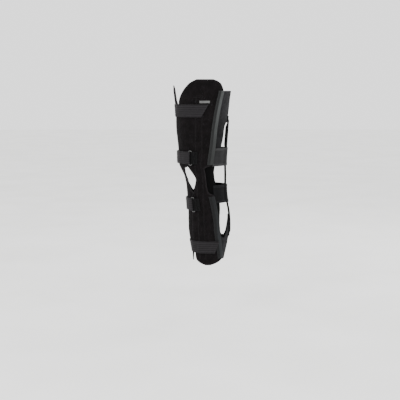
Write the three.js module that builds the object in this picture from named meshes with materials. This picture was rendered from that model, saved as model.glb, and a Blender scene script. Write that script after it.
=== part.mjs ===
// Knee immobilizer for a left leg, in its worn form: four soft panels round the leg, two elastic bars
// and a stay sleeve across the rear window, edge tapes, four hook straps and two strap rings.
// Millimetres. +Z points up the leg, -Y to the front of the knee and +X to the outer side of the leg.
// The origin is the middle of the knee on the leg's axis.
import * as THREE from "three";

// Lengths of the brace above and below the middle of the knee.
const upperLength = 317;
const lowerLength = 284;

// Front-to-back and side-to-side sizes of the space for the leg.
const thighDepth = 158;
const thighWidth = 148;
const kneeDepth = 117;
const kneeWidth = 114;
const calfDepth = 125;
const calfWidth = 116;
const ankleDepth = 93;
const ankleWidth = 80;

// Wall thicknesses of the padded panels, and the clearance between one layer and the next.
const backThickness = 4;
const frontThickness = 3;
const sideThickness = 4;
const layerGap = 0.9;

// The sewn pocket that holds the side stay: it stands proud of the side panel.
const pocketWidth = 26;
const pocketRise = 1.8;
const pocketRamp = 4;
const pocketTop = 0.84;
const pocketBottom = -0.93;

// Tapes along the rear edges of the side panels.
const tapeWidth = 21;
const tapeEdge = 1.2;
const tapeCrown = 2.6;
const upperTapeTop = 0.886;
const upperTapeBottom = 0.145;
const lowerTapeTop = -0.2;
const lowerTapeBottom = -0.923;

// Elastic bars across the rear window, above and below the hollow of the knee.
const barHeight = 58;
const barThickness = 2;
const upperBarAt = 0.217;
const lowerBarAt = -0.177;
const barClearance = 3.5;

// The sleeve of the rear stay, down the middle of the rear window.
const sleeveWidth = 34;
const sleeveThickness = 4.5;
const sleeveSwell = 2.6;
const sleeveRamp = 16;
const sleeveTop = 0.63;
const sleeveBottom = -0.675;

// Hook straps.
const strapWidth = 40;
const strapThickness = 2.2;
const sewnAngle = 8;
const thighStrapAt = 0.686;
const kneeStrapAt = 0.214;
const calfStrapAt = -0.293;
const ankleStrapAt = -0.786;
const thighStrapEnd = { lower: -2, upper: 12 };
const ankleStrapEnd = { lower: 17, upper: 27 };
const foldedEnd = -128;

// Rings of the two straps next to the knee, and the webbing tabs that hold them.
const ringWire = 3;
const ringWidth = 13;
const ringClearance = 1;
const kneeRingAngle = -26;
const calfRingAngle = -38.5;
const tabThickness = 1.4;
const tabLength = 19;
const wireClearance = 0.5;

// A plain woven tag near the top of the outer panel.
const tagLength = 33;
const tagHeight = 8;
const tagThickness = 0.8;
const tagAngle = 4.7;
const tagClearance = 0.3;
const tagAt = 0.775;

const sizes = {
  thigh: { depth: thighDepth, width: thighWidth },
  knee: { depth: kneeDepth, width: kneeWidth },
  calf: { depth: calfDepth, width: calfWidth },
  ankle: { depth: ankleDepth, width: ankleWidth },
};

// Sections of the leg space. at: share of the upper or lower length. depth, width: shares of the
// named size. shift: how far the middle lies behind the axis, as a share of the knee's depth.
const legRows = [
  { at: 1, size: "thigh", depth: 1.158, width: 1.08, shift: -0.107 },
  { at: 0.877, size: "thigh", depth: 1.13, width: 1.06, shift: -0.113 },
  { at: 0.784, size: "thigh", depth: 1.076, width: 1.034, shift: -0.115 },
  { at: 0.69, size: "thigh", depth: 1.035, width: 1.014, shift: -0.113 },
  { at: 0.588, size: "thigh", depth: 1.006, width: 1.0, shift: -0.124 },
  { at: 0.505, size: "thigh", depth: 0.994, width: 0.986, shift: -0.132 },
  { at: 0.413, size: "thigh", depth: 0.959, width: 0.96, shift: -0.126 },
  { at: 0.3, size: "thigh", depth: 0.916, width: 0.912, shift: -0.12 },
  { at: 0.206, size: "thigh", depth: 0.899, width: 0.872, shift: -0.13 },
  { at: 0.134, size: "thigh", depth: 0.896, width: 0.838, shift: -0.13 },
  { at: 0.072, size: "knee", depth: 1.113, width: 1.053, shift: -0.078 },
  { at: 0.02, size: "knee", depth: 1.05, width: 1.018, shift: -0.042 },
  { at: -0.067, size: "knee", depth: 1.0, width: 1.0, shift: -0.021 },
  { at: -0.167, size: "knee", depth: 0.986, width: 1.0, shift: -0.006 },
  { at: -0.255, size: "calf", depth: 0.936, width: 0.991, shift: 0.013 },
  { at: -0.367, size: "calf", depth: 0.978, width: 1.0, shift: 0.054 },
  { at: -0.478, size: "calf", depth: 1.0, width: 1.0, shift: 0.069 },
  { at: -0.6, size: "calf", depth: 1.0, width: 0.966, shift: 0.075 },
  { at: -0.679, size: "calf", depth: 0.96, width: 0.91, shift: 0.081 },
  { at: -0.767, size: "calf", depth: 0.886, width: 0.83, shift: 0.086 },
  { at: -0.856, size: "ankle", depth: 1.07, width: 1.09, shift: 0.079 },
  { at: -0.923, size: "ankle", depth: 1.032, width: 1.02, shift: 0.064 },
  { at: -1, size: "ankle", depth: 0.946, width: 0.95, shift: 0.051 },
];

// Outline of a side panel: the angles of its front and rear edge, in degrees from the middle of the
// leg's side, positive to the rear. It is an hourglass with round ends.
const sideRows = [
  { at: 1, front: -10, rear: 20 },
  { at: 0.985, front: -18, rear: 29 },
  { at: 0.96, front: -26, rear: 37 },
  { at: 0.91, front: -36, rear: 43 },
  { at: 0.877, front: -41.5, rear: 45 },
  { at: 0.827, front: -49, rear: 43.5 },
  { at: 0.784, front: -54, rear: 42 },
  { at: 0.69, front: -58, rear: 39 },
  { at: 0.505, front: -57, rear: 35 },
  { at: 0.3, front: -55, rear: 31.5 },
  { at: 0.206, front: -50, rear: 29.5 },
  { at: 0.14, front: -39, rear: 28 },
  { at: 0.131, front: -38, rear: 20 },
  { at: 0.122, front: -37, rear: 12 },
  { at: 0.105, front: -35.5, rear: 4 },
  { at: 0.048, front: -30.3, rear: 3.5 },
  { at: 0.016, front: -26.5, rear: 3 },
  { at: -0.025, front: -26.3, rear: 2.5 },
  { at: -0.082, front: -30.6, rear: 3 },
  { at: -0.146, front: -36.2, rear: 6 },
  { at: -0.167, front: -41, rear: 10 },
  { at: -0.184, front: -44, rear: 21 },
  { at: -0.2, front: -46, rear: 23.5 },
  { at: -0.255, front: -48, rear: 25 },
  { at: -0.367, front: -50, rear: 26 },
  { at: -0.478, front: -51, rear: 28.5 },
  { at: -0.6, front: -51.5, rear: 30.5 },
  { at: -0.679, front: -52.5, rear: 33.5 },
  { at: -0.767, front: -53, rear: 39 },
  { at: -0.874, front: -51, rear: 49 },
  { at: -0.923, front: -49, rear: 54 },
  { at: -0.945, front: -45, rear: 48 },
  { at: -0.965, front: -37, rear: 39 },
  { at: -0.985, front: -25, rear: 24 },
  { at: -1, front: -8, rear: 6 },
];

// Outline of the front panel: half its width in degrees on each side of the front line. It narrows
// to a strip over the kneecap, with an eye-shaped opening on each side, and ends in tongues.
const frontRows = [
  { at: 0.94, half: 6 },
  { at: 0.925, half: 12 },
  { at: 0.89, half: 17 },
  { at: 0.784, half: 19 },
  { at: 0.745, half: 24 },
  { at: 0.7, half: 40 },
  { at: 0.505, half: 43 },
  { at: 0.3, half: 45 },
  { at: 0.206, half: 48 },
  { at: 0.134, half: 54 },
  { at: 0.12, half: 50 },
  { at: 0.107, half: 36 },
  { at: 0.085, half: 30.6 },
  { at: 0.064, half: 26.3 },
  { at: 0.04, half: 21.4 },
  { at: 0.014, half: 20.4 },
  { at: -0.019, half: 24 },
  { at: -0.067, half: 27 },
  { at: -0.11, half: 37 },
  { at: -0.148, half: 43.5 },
  { at: -0.165, half: 51 },
  { at: -0.255, half: 49 },
  { at: -0.367, half: 47 },
  { at: -0.679, half: 45 },
  { at: -0.767, half: 43 },
  { at: -0.81, half: 37 },
  { at: -0.84, half: 28 },
  { at: -0.868, half: 20 },
  { at: -0.91, half: 16 },
  { at: -0.945, half: 11 },
  { at: -0.96, half: 6 },
];

// Outline of the rear panel. side: its edge under the side panel. outer: the outer edge of the rear
// window. inner: the edge of the tongue that rises in the middle of the window's lower end.
const rearRows = [
  { at: 0.886, side: 24, outer: 76, inner: 83 },
  { at: 0.784, side: 18, outer: 76, inner: 83 },
  { at: 0.69, side: 15, outer: 76, inner: 83 },
  { at: 0.565, side: 12, outer: 74, inner: 83 },
  { at: 0.55, side: 12, outer: 67, inner: 80 },
  { at: 0.51, side: 11, outer: 62, inner: 76 },
  { at: 0.46, side: 10, outer: 60, inner: 74 },
  { at: 0.39, side: 9, outer: 57, inner: 74 },
  { at: 0.3, side: 6, outer: 51, inner: 74 },
  { at: 0.206, side: 2, outer: 40, inner: 74 },
  { at: 0.12, side: -6, outer: 34, inner: 74 },
  { at: 0.065, side: -11, outer: 29, inner: 74 },
  { at: -0.019, side: -12, outer: 29, inner: 74 },
  { at: -0.067, side: -11, outer: 32.5, inner: 76 },
  { at: -0.167, side: -6, outer: 38, inner: 80 },
  { at: -0.289, side: 0, outer: 41, inner: 84 },
  { at: -0.426, side: 3, outer: 34, inner: 84 },
  { at: -0.478, side: 4, outer: 33, inner: 76 },
  { at: -0.55, side: 5, outer: 32, inner: 67 },
  { at: -0.635, side: 8, outer: 34, inner: 59 },
  { at: -0.665, side: 9.5, outer: 38, inner: 54 },
  { at: -0.68, side: 10, outer: 43, inner: 50 },
  { at: -0.767, side: 14, outer: 46, inner: 58 },
  { at: -0.856, side: 20, outer: 52, inner: 66 },
  { at: -0.94, side: 27, outer: 58, inner: 72 },
];
const windowTop = 0.565;
const windowBottom = -0.68;
const tongueTop = -0.426;

// The middle of the stay pocket, in degrees.
const pocketRows = [
  { at: 1, middle: -5.5 },
  { at: 0.206, middle: -7.5 },
  { at: 0, middle: -14 },
  { at: -0.367, middle: -20 },
  { at: -1, middle: -20 },
];

const frontLine = -90;
const rearLine = 90;
const insideStart = -180;

const colours = {
  panel: { color: 0x151516, roughness: 0.95 },
  rear: { color: 0x2a2b2c, roughness: 0.9 },
  elastic: { color: 0x2e2f31, roughness: 0.85 },
  sleeve: { color: 0x0c0c0d, roughness: 0.8 },
  tape: { color: 0x45494a, roughness: 0.75 },
  strap: { color: 0x38383a, roughness: 0.85 },
  ring: { color: 0x1b1c1e, roughness: 0.2, metalness: 0.9 },
  tag: { color: 0xc9c9c8, roughness: 0.7 },
};

const degrees = THREE.MathUtils.radToDeg;
const { lerp, smoothstep } = THREE.MathUtils;

const heightOf = (at) => at * (at > 0 ? upperLength : lowerLength);
const shareOf = (z) => z / (z > 0 ? upperLength : lowerLength);

// Reads a column of a table that runs from the top down, straight from row to row.
function straight(rows, column, at) {
  const last = rows.length - 1;
  if (at >= rows[0].at) return rows[0][column];
  if (at <= rows[last].at) return rows[last][column];
  const k = rows.findIndex((row) => row.at <= at);
  const share = (rows[k - 1].at - at) / (rows[k - 1].at - rows[k].at);
  return lerp(rows[k - 1][column], rows[k][column], share);
}

// Each section's middle, half depth and half width in millimetres.
const sections = legRows.map((row) => ({
  at: row.at,
  middle: row.shift * kneeDepth,
  halfDepth: (row.depth * sizes[row.size].depth) / 2,
  halfWidth: (row.width * sizes[row.size].width) / 2,
}));

// A point on the leg space at an angle and a height, moved outwards by an offset.
function place(angle, z, offset) {
  const at = shareOf(z);
  const halfDepth = straight(sections, "halfDepth", at);
  const halfWidth = straight(sections, "halfWidth", at);
  const turn = THREE.MathUtils.degToRad(angle);
  const outward = new THREE.Vector2(halfDepth * Math.cos(turn), halfWidth * Math.sin(turn)).normalize();
  return new THREE.Vector3(
    halfWidth * Math.cos(turn) + offset * outward.x,
    straight(sections, "middle", at) + halfDepth * Math.sin(turn) + offset * outward.y,
    z,
  );
}

// How many degrees a length along the surface takes at an angle, a height and an offset.
function degreesFor(length, angle, z, offset) {
  const step = 1;
  const here = place(angle - step / 2, z, offset);
  return (length * step) / here.distanceTo(place(angle + step / 2, z, offset));
}

// A closed wall over a grid. corner(i, j, layer) gives its points: i runs with the angle, j upwards,
// and layer is 0 on the inner face and 1 on the outer one. isOpen marks the cells that are cut out.
function wall(columns, rows, corner, isOpen = () => false) {
  const points = [];
  for (const layer of [0, 1]) {
    for (let j = 0; j <= rows; j++) {
      for (let i = 0; i <= columns; i++) points.push(...corner(i, j, layer).toArray());
    }
  }
  const id = (i, j, layer) => (layer * (rows + 1) + j) * (columns + 1) + i;
  const filled = (i, j) => i >= 0 && j >= 0 && i < columns && j < rows && !isOpen(i, j);
  const faces = [];
  const quad = (a, b, c, d) => faces.push(a, b, c, a, c, d);
  for (let j = 0; j < rows; j++) {
    for (let i = 0; i < columns; i++) {
      if (!filled(i, j)) continue;
      quad(id(i, j, 1), id(i + 1, j, 1), id(i + 1, j + 1, 1), id(i, j + 1, 1));
      quad(id(i, j, 0), id(i, j + 1, 0), id(i + 1, j + 1, 0), id(i + 1, j, 0));
      if (!filled(i - 1, j)) quad(id(i, j, 1), id(i, j + 1, 1), id(i, j + 1, 0), id(i, j, 0));
      if (!filled(i + 1, j)) {
        quad(id(i + 1, j, 1), id(i + 1, j, 0), id(i + 1, j + 1, 0), id(i + 1, j + 1, 1));
      }
      if (!filled(i, j - 1)) quad(id(i, j, 1), id(i, j, 0), id(i + 1, j, 0), id(i + 1, j, 1));
      if (!filled(i, j + 1)) {
        quad(id(i, j + 1, 1), id(i + 1, j + 1, 1), id(i + 1, j + 1, 0), id(i, j + 1, 0));
      }
    }
  }
  const geometry = new THREE.BufferGeometry();
  geometry.setAttribute("position", new THREE.Float32BufferAttribute(points, 3));
  geometry.setIndex(faces);
  return geometry;
}

// The same piece for the inner side of the leg.
function mirrored(geometry) {
  const copy = geometry.clone();
  copy.scale(-1, 1, 1);
  const index = copy.index.array;
  for (let k = 0; k < index.length; k += 3) [index[k], index[k + 1]] = [index[k + 1], index[k]];
  return copy;
}

// Heights for a piece's rows, from the bottom up: those of its outline, and between them the leg
// sections' own where there is room.
function levelsBetween(bottom, top, outline = []) {
  const closest = 0.022;
  const inside = (row) => row.at > bottom && row.at < top;
  const shares = [bottom, top, ...outline.filter(inside).map((row) => row.at)];
  for (const { at } of legRows.filter(inside)) {
    if (shares.every((share) => Math.abs(share - at) > closest)) shares.push(at);
  }
  return shares.sort((a, b) => a - b);
}

// Angles from one to another in equal steps, without the last.
const spread = (from, to, count) => Array.from({ length: count }, (_, k) => lerp(from, to, k / count));

const sideInner = backThickness + layerGap;
const sideOuter = sideInner + sideThickness;

// The side panel's pocket: its height over the panel at an angle and a height.
function pocketHeight(angle, z) {
  const at = shareOf(z);
  if (at > pocketTop || at < pocketBottom) return 0;
  const middle = straight(pocketRows, "middle", at);
  const half = degreesFor(pocketWidth / 2, middle, z, sideOuter);
  const distance = Math.abs(angle - middle);
  return pocketRise * (1 - smoothstep(distance, half - pocketRamp, half));
}

// Whether an edge tape of the outer panel lies at an angle and a height.
function isOnTape(angle, z) {
  const at = shareOf(z);
  const isUpper = at > upperTapeBottom && at < upperTapeTop;
  const isLower = at > lowerTapeBottom && at < lowerTapeTop;
  return (isUpper || isLower) && angle > tapeFront(at) - layerGap && angle < straight(sideRows, "rear", at);
}

// The height of the stack that a strap lies on: the side panels with their pockets and the outer
// panel's edge tapes, or between the panels' front edges the front panel.
function stackUnder(angle, z) {
  if (angle > frontLine && isOnTape(angle, z)) return sideOuter + layerGap + tapeCrown;
  const margin = 8;
  const settled = 2;
  const folded = angle > frontLine ? angle : insideStart - angle;
  const edge = straight(sideRows, "front", shareOf(z));
  const onSide = smoothstep(folded, edge - margin, edge - settled);
  return lerp(backThickness, sideOuter + pocketHeight(folded, z), onSide);
}

// The highest part of that stack below a piece of strap.
function highestUnder(angle, middle) {
  const reach = 4;
  const heights = [];
  for (const aside of [-1, -0.5, 0, 0.5, 1]) {
    for (const up of [-0.5, -0.25, 0, 0.25, 0.5]) {
      heights.push(stackUnder(angle + aside * reach, middle + up * strapWidth));
    }
  }
  return Math.max(...heights);
}

function sidePanel() {
  const levels = levelsBetween(-1, 1, sideRows);
  const frontCellCount = 5;
  const rearCellCount = 4;
  const besidePocket = 0.12;
  const grid = levels.map((at) => {
    const z = heightOf(at);
    const middle = straight(pocketRows, "middle", at);
    const half = degreesFor(pocketWidth / 2, middle, z, sideOuter);
    const front = straight(sideRows, "front", at);
    const rear = straight(sideRows, "rear", at);
    const near = Math.max(middle - half, lerp(front, rear, besidePocket));
    const far = Math.min(middle + half, lerp(front, rear, 1 - besidePocket));
    const ramp = Math.min(pocketRamp, (far - near) / 4);
    return [
      ...spread(front, near, frontCellCount),
      near,
      near + ramp,
      far - ramp,
      ...spread(far, rear, rearCellCount),
      rear,
    ];
  });
  const corner = (i, j, layer) => {
    const z = heightOf(levels[j]);
    const angle = grid[j][i];
    return place(angle, z, layer ? sideOuter + pocketHeight(angle, z) : sideInner);
  };
  return wall(grid[0].length - 1, levels.length - 1, corner);
}

function frontPanel() {
  const columnCount = 8;
  const levels = levelsBetween(frontRows.at(-1).at, frontRows[0].at, frontRows);
  const inner = backThickness - frontThickness;
  const corner = (i, j, layer) => {
    const half = straight(frontRows, "half", levels[j]);
    const angle = frontLine + lerp(-half, half, i / columnCount);
    return place(angle, heightOf(levels[j]), layer ? backThickness : inner);
  };
  return wall(columnCount, levels.length - 1, corner);
}

function rearPanel() {
  const sideCellCount = 5;
  const openCellCount = 2;
  const tongueCellCount = 2;
  const levels = levelsBetween(rearRows.at(-1).at, rearRows[0].at, rearRows);
  const grid = levels.map((at) => {
    const [side, outer, inner] = ["side", "outer", "inner"].map((name) => straight(rearRows, name, at));
    const half = [
      ...spread(side, outer, sideCellCount),
      ...spread(outer, inner, openCellCount),
      ...spread(inner, rearLine, tongueCellCount),
    ];
    return [...half, rearLine, ...half.map((angle) => 2 * rearLine - angle).reverse()];
  });
  const columns = grid[0].length - 1;
  const isOpen = (i, j) => {
    const at = (levels[j] + levels[j + 1]) / 2;
    const fromSide = Math.min(i, columns - 1 - i);
    if (at > windowTop || at < windowBottom || fromSide < sideCellCount) return false;
    return fromSide < sideCellCount + openCellCount || at > tongueTop;
  };
  const corner = (i, j, layer) => place(grid[j][i], heightOf(levels[j]), layer ? backThickness : 0);
  return wall(columns, levels.length - 1, corner, isOpen);
}

// The front edge of the tape on a side panel's rear margin.
function tapeFront(at) {
  const rear = straight(sideRows, "rear", at);
  return rear - degreesFor(tapeWidth, rear, heightOf(at), sideOuter);
}

// A tape on the rear margin of a side panel, with a raised middle.
function edgeTape(bottom, top) {
  const crown = [0, 0.75, 1, 0.75, 0];
  const columns = crown.length - 1;
  const levels = levelsBetween(bottom, top, sideRows);
  const inner = sideOuter + layerGap;
  const corner = (i, j, layer) => {
    const z = heightOf(levels[j]);
    const rear = straight(sideRows, "rear", levels[j]);
    const height = lerp(tapeEdge, tapeCrown, crown[i]);
    const angle = lerp(tapeFront(levels[j]), rear, i / columns);
    return place(angle, z, layer ? inner + height : inner);
  };
  return wall(columns, levels.length - 1, corner);
}

const sleeveOuter = backThickness + layerGap + sleeveThickness;

// The sleeve swells a little into the open window.
function staySleeve() {
  const columnCount = 4;
  const lowEnd = heightOf(tongueTop) + barClearance;
  const highEnd = heightOf(windowTop) - barClearance;
  const ramps = [lowEnd, lowEnd + sleeveRamp, highEnd - sleeveRamp, highEnd];
  const levels = levelsBetween(sleeveBottom, sleeveTop, ramps.map((z) => ({ at: shareOf(z) })));
  const corner = (i, j, layer) => {
    const z = heightOf(levels[j]);
    const half = degreesFor(sleeveWidth / 2, rearLine, z, backThickness);
    const angle = rearLine + lerp(-half, half, i / columnCount);
    const free = Math.min(z - lowEnd, highEnd - z, sleeveRamp) / sleeveRamp;
    const inner = backThickness + layerGap - sleeveSwell * Math.max(free, 0);
    return place(angle, z, layer ? sleeveOuter : inner);
  };
  return wall(columnCount, levels.length - 1, corner);
}

// An elastic bar over the rear panel and the stay sleeve, from one side panel to the other.
function elasticBar(middle) {
  const columnCount = 18;
  const rampStart = 5;
  const rampEnd = 10;
  const narrowing = 0.8;
  const centre = heightOf(middle);
  const levels = levelsBetween(shareOf(centre - barHeight / 2), shareOf(centre + barHeight / 2));
  const widest = Math.max(...levels.map((at) => straight(sideRows, "rear", at)));
  const corner = (i, j, layer) => {
    const z = heightOf(levels[j]);
    const edge = Math.max(straight(sideRows, "rear", levels[j]), widest * narrowing);
    const start = edge + degreesFor(barClearance, edge, z, backThickness);
    const angle = lerp(start, 2 * rearLine - start, i / columnCount);
    const sleeveHalf = degreesFor(sleeveWidth / 2, rearLine, z, backThickness);
    const away = Math.abs(angle - rearLine);
    const over = 1 - smoothstep(away, sleeveHalf + rampStart, sleeveHalf + rampEnd);
    const inner = backThickness + layerGap + over * (sleeveThickness + layerGap);
    return place(angle, z, layer ? inner + barThickness : inner);
  };
  return wall(columnCount, levels.length - 1, corner);
}

// A strap or tab: a flat band that follows a path of angles and offsets round the leg. step(t, up)
// gives the path's point at share t of its length, where up runs from 0 to 1 across the width.
function band(stepCount, middle, width, thickness, step) {
  const rowCount = 3;
  const lines = Array.from({ length: rowCount + 1 }, (_, j) => {
    const z = middle + lerp(-width / 2, width / 2, j / rowCount);
    return Array.from({ length: stepCount + 1 }, (_, i) => {
      const { angle, offset } = step(i / stepCount, j / rowCount);
      return place(angle, z, offset);
    });
  });
  const corner = (i, j, layer) => {
    const line = lines[j];
    const ahead = line[Math.min(i + 1, stepCount)];
    const along = ahead.clone().sub(line[Math.max(i - 1, 0)]).normalize();
    const outward = new THREE.Vector3(along.y, -along.x, 0).normalize();
    return line[i].clone().addScaledVector(outward, (layer - 0.5) * thickness);
  };
  return wall(stepCount, rowCount, corner);
}

// The angle on the inner panel where a strap is sewn down, clear of the edge tape.
function sewnEndOf(middle) {
  const edges = [-0.5, 0, 0.5].map((up) => tapeFront(shareOf(middle + up * strapWidth)));
  return insideStart - Math.min(sewnAngle, ...edges.map((edge) => edge - layerGap));
}

// A strap from the inner panel round the front to the outer panel, where its end is cut on a slant.
function plainStrap(middleAt, end) {
  const stepCount = 34;
  const middle = heightOf(middleAt);
  const strapStart = sewnEndOf(middle);
  return band(stepCount, middle, strapWidth, strapThickness, (t, up) => {
    const angle = lerp(strapStart, lerp(end.lower, end.upper, up), t);
    return { angle, offset: highestUnder(angle, middle) + layerGap + strapThickness / 2 };
  });
}

// Height of the rings' wire over the leg space: the folded tab lies on the pocket under it.
const ringOffset = sideOuter + pocketRise + layerGap + tabThickness + wireClearance + ringWire / 2;

// Angles of a ring's front bar, which the strap turns round, and its rear bar, held by the tab.
function ringBars(ringAngle, middle) {
  const half = degreesFor((ringWidth - ringWire) / 2, ringAngle, middle, ringOffset);
  return { front: ringAngle - half, rear: ringAngle + half };
}

// A strap that goes through its ring and lies back on itself.
function ringStrap(middleAt, ringAngle) {
  const middle = heightOf(middleAt);
  const strapStart = sewnEndOf(middle);
  const bar = ringBars(ringAngle, middle).front;
  const turnRadius = ringWire / 2 + wireClearance + strapThickness / 2;
  const perLength = degreesFor(1, bar, middle, ringOffset);
  const settle = 22;
  const lower = (angle) => {
    const resting = highestUnder(angle, middle) + layerGap + strapThickness / 2;
    return lerp(resting, ringOffset - turnRadius, smoothstep(angle, bar - settle, bar));
  };
  const upper = (angle) => {
    const resting = lower(angle) + strapThickness + layerGap;
    return lerp(resting, ringOffset + turnRadius, smoothstep(angle, bar - settle, bar));
  };
  const underCount = 22;
  const turnCount = 6;
  const overCount = 14;
  const stepCount = underCount + turnCount + overCount;
  return band(stepCount, middle, strapWidth, strapThickness, (t) => {
    const k = Math.round(t * stepCount);
    if (k <= underCount) {
      const angle = lerp(strapStart, bar, k / underCount);
      return { angle, offset: lower(angle) };
    }
    if (k <= underCount + turnCount) {
      const round = (Math.PI * (k - underCount)) / turnCount;
      const forward = turnRadius * Math.sin(round) * perLength;
      return { angle: bar + forward, offset: ringOffset - turnRadius * Math.cos(round) };
    }
    const angle = lerp(bar, foldedEnd, (k - underCount - turnCount) / overCount);
    return { angle, offset: upper(angle) };
  });
}

// The webbing tab: sewn to the outer panel behind the ring and folded round its rear bar.
function ringTab(middleAt, ringAngle) {
  const middle = heightOf(middleAt);
  const bar = ringBars(ringAngle, middle).rear;
  const turnRadius = ringWire / 2 + wireClearance + tabThickness / 2;
  const perLength = degreesFor(1, bar, middle, ringOffset);
  const sewnEnd = bar + tabLength * perLength;
  const settleShare = 0.6;
  const settle = tabLength * perLength * settleShare;
  const onRing = (angle) => 1 - smoothstep(angle, bar, bar + settle);
  const resting = (angle) => highestUnder(angle, middle) + layerGap + tabThickness / 2;
  const lower = (angle) => lerp(resting(angle), ringOffset - turnRadius, onRing(angle));
  const upper = (angle) => {
    const lying = lower(angle) + tabThickness + layerGap;
    return lerp(lying, ringOffset + turnRadius, onRing(angle));
  };
  const flatCount = 4;
  const turnCount = 6;
  const stepCount = 2 * flatCount + turnCount;
  return band(stepCount, middle, strapWidth, tabThickness, (t) => {
    const k = Math.round(t * stepCount);
    if (k <= flatCount) {
      const angle = lerp(sewnEnd, bar, k / flatCount);
      return { angle, offset: upper(angle) };
    }
    if (k <= flatCount + turnCount) {
      const round = (Math.PI * (k - flatCount)) / turnCount;
      const back = turnRadius * Math.sin(round) * perLength;
      return { angle: bar - back, offset: ringOffset + turnRadius * Math.cos(round) };
    }
    const angle = lerp(bar, sewnEnd, (k - flatCount - turnCount) / flatCount);
    return { angle, offset: lower(angle) };
  });
}

// A ring of round wire with an opening as high as the strap, bent with the leg.
function strapRing(middleAt, ringAngle) {
  const sideCount = 6;
  const cornerStepCount = 3;
  const cornerRadius = 3;
  const middle = heightOf(middleAt);
  const halfWidth = (ringWidth - ringWire) / 2;
  const halfHeight = (strapWidth + 2 * ringClearance + ringWire) / 2;
  const perLength = degreesFor(1, ringAngle, middle, ringOffset);
  const path = [];
  const corners = [
    [1, 1],
    [-1, 1],
    [-1, -1],
    [1, -1],
  ];
  corners.forEach(([across, up], k) => {
    for (let s = 0; s <= cornerStepCount; s++) {
      const round = (Math.PI / 2) * (k + s / cornerStepCount);
      const x = across * (halfWidth - cornerRadius) + cornerRadius * Math.cos(round);
      const y = up * (halfHeight - cornerRadius) + cornerRadius * Math.sin(round);
      path.push({ x, y });
    }
  });
  const centre = path.map(({ x, y }) => place(ringAngle + x * perLength, middle + y, ringOffset));
  const count = path.length;
  const points = [];
  const faces = [];
  for (let k = 0; k < count; k++) {
    const along = centre[(k + 1) % count].clone().sub(centre[(k - 1 + count) % count]).normalize();
    const lifted = place(ringAngle + path[k].x * perLength, middle + path[k].y, ringOffset + 1);
    const outward = lifted.sub(centre[k]).normalize();
    const across = new THREE.Vector3().crossVectors(along, outward).normalize();
    for (let s = 0; s < sideCount; s++) {
      const round = (2 * Math.PI * s) / sideCount;
      const point = centre[k]
        .clone()
        .addScaledVector(outward, (ringWire / 2) * Math.cos(round))
        .addScaledVector(across, (ringWire / 2) * Math.sin(round));
      points.push(...point.toArray());
      const next = (k + 1) % count;
      const beside = (s + 1) % sideCount;
      const [a, b] = [k * sideCount + s, k * sideCount + beside];
      const [c, d] = [next * sideCount + beside, next * sideCount + s];
      faces.push(a, b, c, a, c, d);
    }
  }
  const geometry = new THREE.BufferGeometry();
  geometry.setAttribute("position", new THREE.Float32BufferAttribute(points, 3));
  geometry.setIndex(faces);
  return geometry;
}

function wovenTag() {
  const columnCount = 4;
  const middle = heightOf(tagAt);
  const half = degreesFor(tagLength / 2, tagAngle, middle, sideOuter);
  const corner = (i, j, layer) => {
    const angle = tagAngle + lerp(-half, half, i / columnCount);
    const inner = highestUnder(angle, middle) + tagClearance;
    return place(angle, middle + lerp(-tagHeight / 2, tagHeight / 2, j), inner + layer * tagThickness);
  };
  return wall(columnCount, 1, corner);
}

const immobilizer = new THREE.Group();

function add(name, geometry, look) {
  const mesh = new THREE.Mesh(geometry, new THREE.MeshStandardMaterial(colours[look]));
  mesh.name = name;
  immobilizer.add(mesh);
}

const panel = sidePanel();
const upperTape = edgeTape(upperTapeBottom, upperTapeTop);
const lowerTape = edgeTape(lowerTapeBottom, lowerTapeTop);
for (const [side, shape] of [
  ["outer", (geometry) => geometry],
  ["inner", mirrored],
]) {
  add(side + "_panel", shape(panel), "panel");
  add(side + "_upper_edge_tape", shape(upperTape), "tape");
  add(side + "_lower_edge_tape", shape(lowerTape), "tape");
}
add("front_panel", frontPanel(), "panel");
add("rear_panel", rearPanel(), "rear");
add("rear_stay_sleeve", staySleeve(), "sleeve");
add("upper_elastic_bar", elasticBar(upperBarAt), "elastic");
add("lower_elastic_bar", elasticBar(lowerBarAt), "elastic");
add("thigh_strap", plainStrap(thighStrapAt, thighStrapEnd), "strap");
add("ankle_strap", plainStrap(ankleStrapAt, ankleStrapEnd), "strap");
for (const [name, at, angle] of [
  ["above_knee", kneeStrapAt, kneeRingAngle],
  ["below_knee", calfStrapAt, calfRingAngle],
]) {
  add(name + "_strap", ringStrap(at, angle), "strap");
  add(name + "_ring", strapRing(at, angle), "ring");
  add(name + "_ring_tab", ringTab(at, angle), "strap");
}
add("woven_tag", wovenTag(), "tag");

export default immobilizer;
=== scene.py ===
import math

import bpy
import numpy as np
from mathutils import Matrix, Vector, noise
from mathutils.bvhtree import BVHTree
from mathutils.kdtree import KDTree


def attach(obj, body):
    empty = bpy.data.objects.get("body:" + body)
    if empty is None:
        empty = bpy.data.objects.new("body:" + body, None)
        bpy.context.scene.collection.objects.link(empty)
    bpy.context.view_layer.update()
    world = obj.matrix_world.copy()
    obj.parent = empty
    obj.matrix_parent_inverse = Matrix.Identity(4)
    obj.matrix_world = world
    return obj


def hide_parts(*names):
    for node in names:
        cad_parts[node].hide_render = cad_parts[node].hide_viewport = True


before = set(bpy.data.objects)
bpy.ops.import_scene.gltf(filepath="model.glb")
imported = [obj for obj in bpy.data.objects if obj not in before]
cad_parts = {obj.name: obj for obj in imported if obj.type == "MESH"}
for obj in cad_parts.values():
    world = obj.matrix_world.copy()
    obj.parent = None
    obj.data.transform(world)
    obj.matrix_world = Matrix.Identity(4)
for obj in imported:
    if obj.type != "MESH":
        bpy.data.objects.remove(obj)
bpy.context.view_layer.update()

# Knee immobilizer for a left leg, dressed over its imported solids. Metres, +Z up the leg,
# -Y to the front of the knee, +X to the outer side, origin in the middle of the knee.
print("frame loaded")


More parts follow.
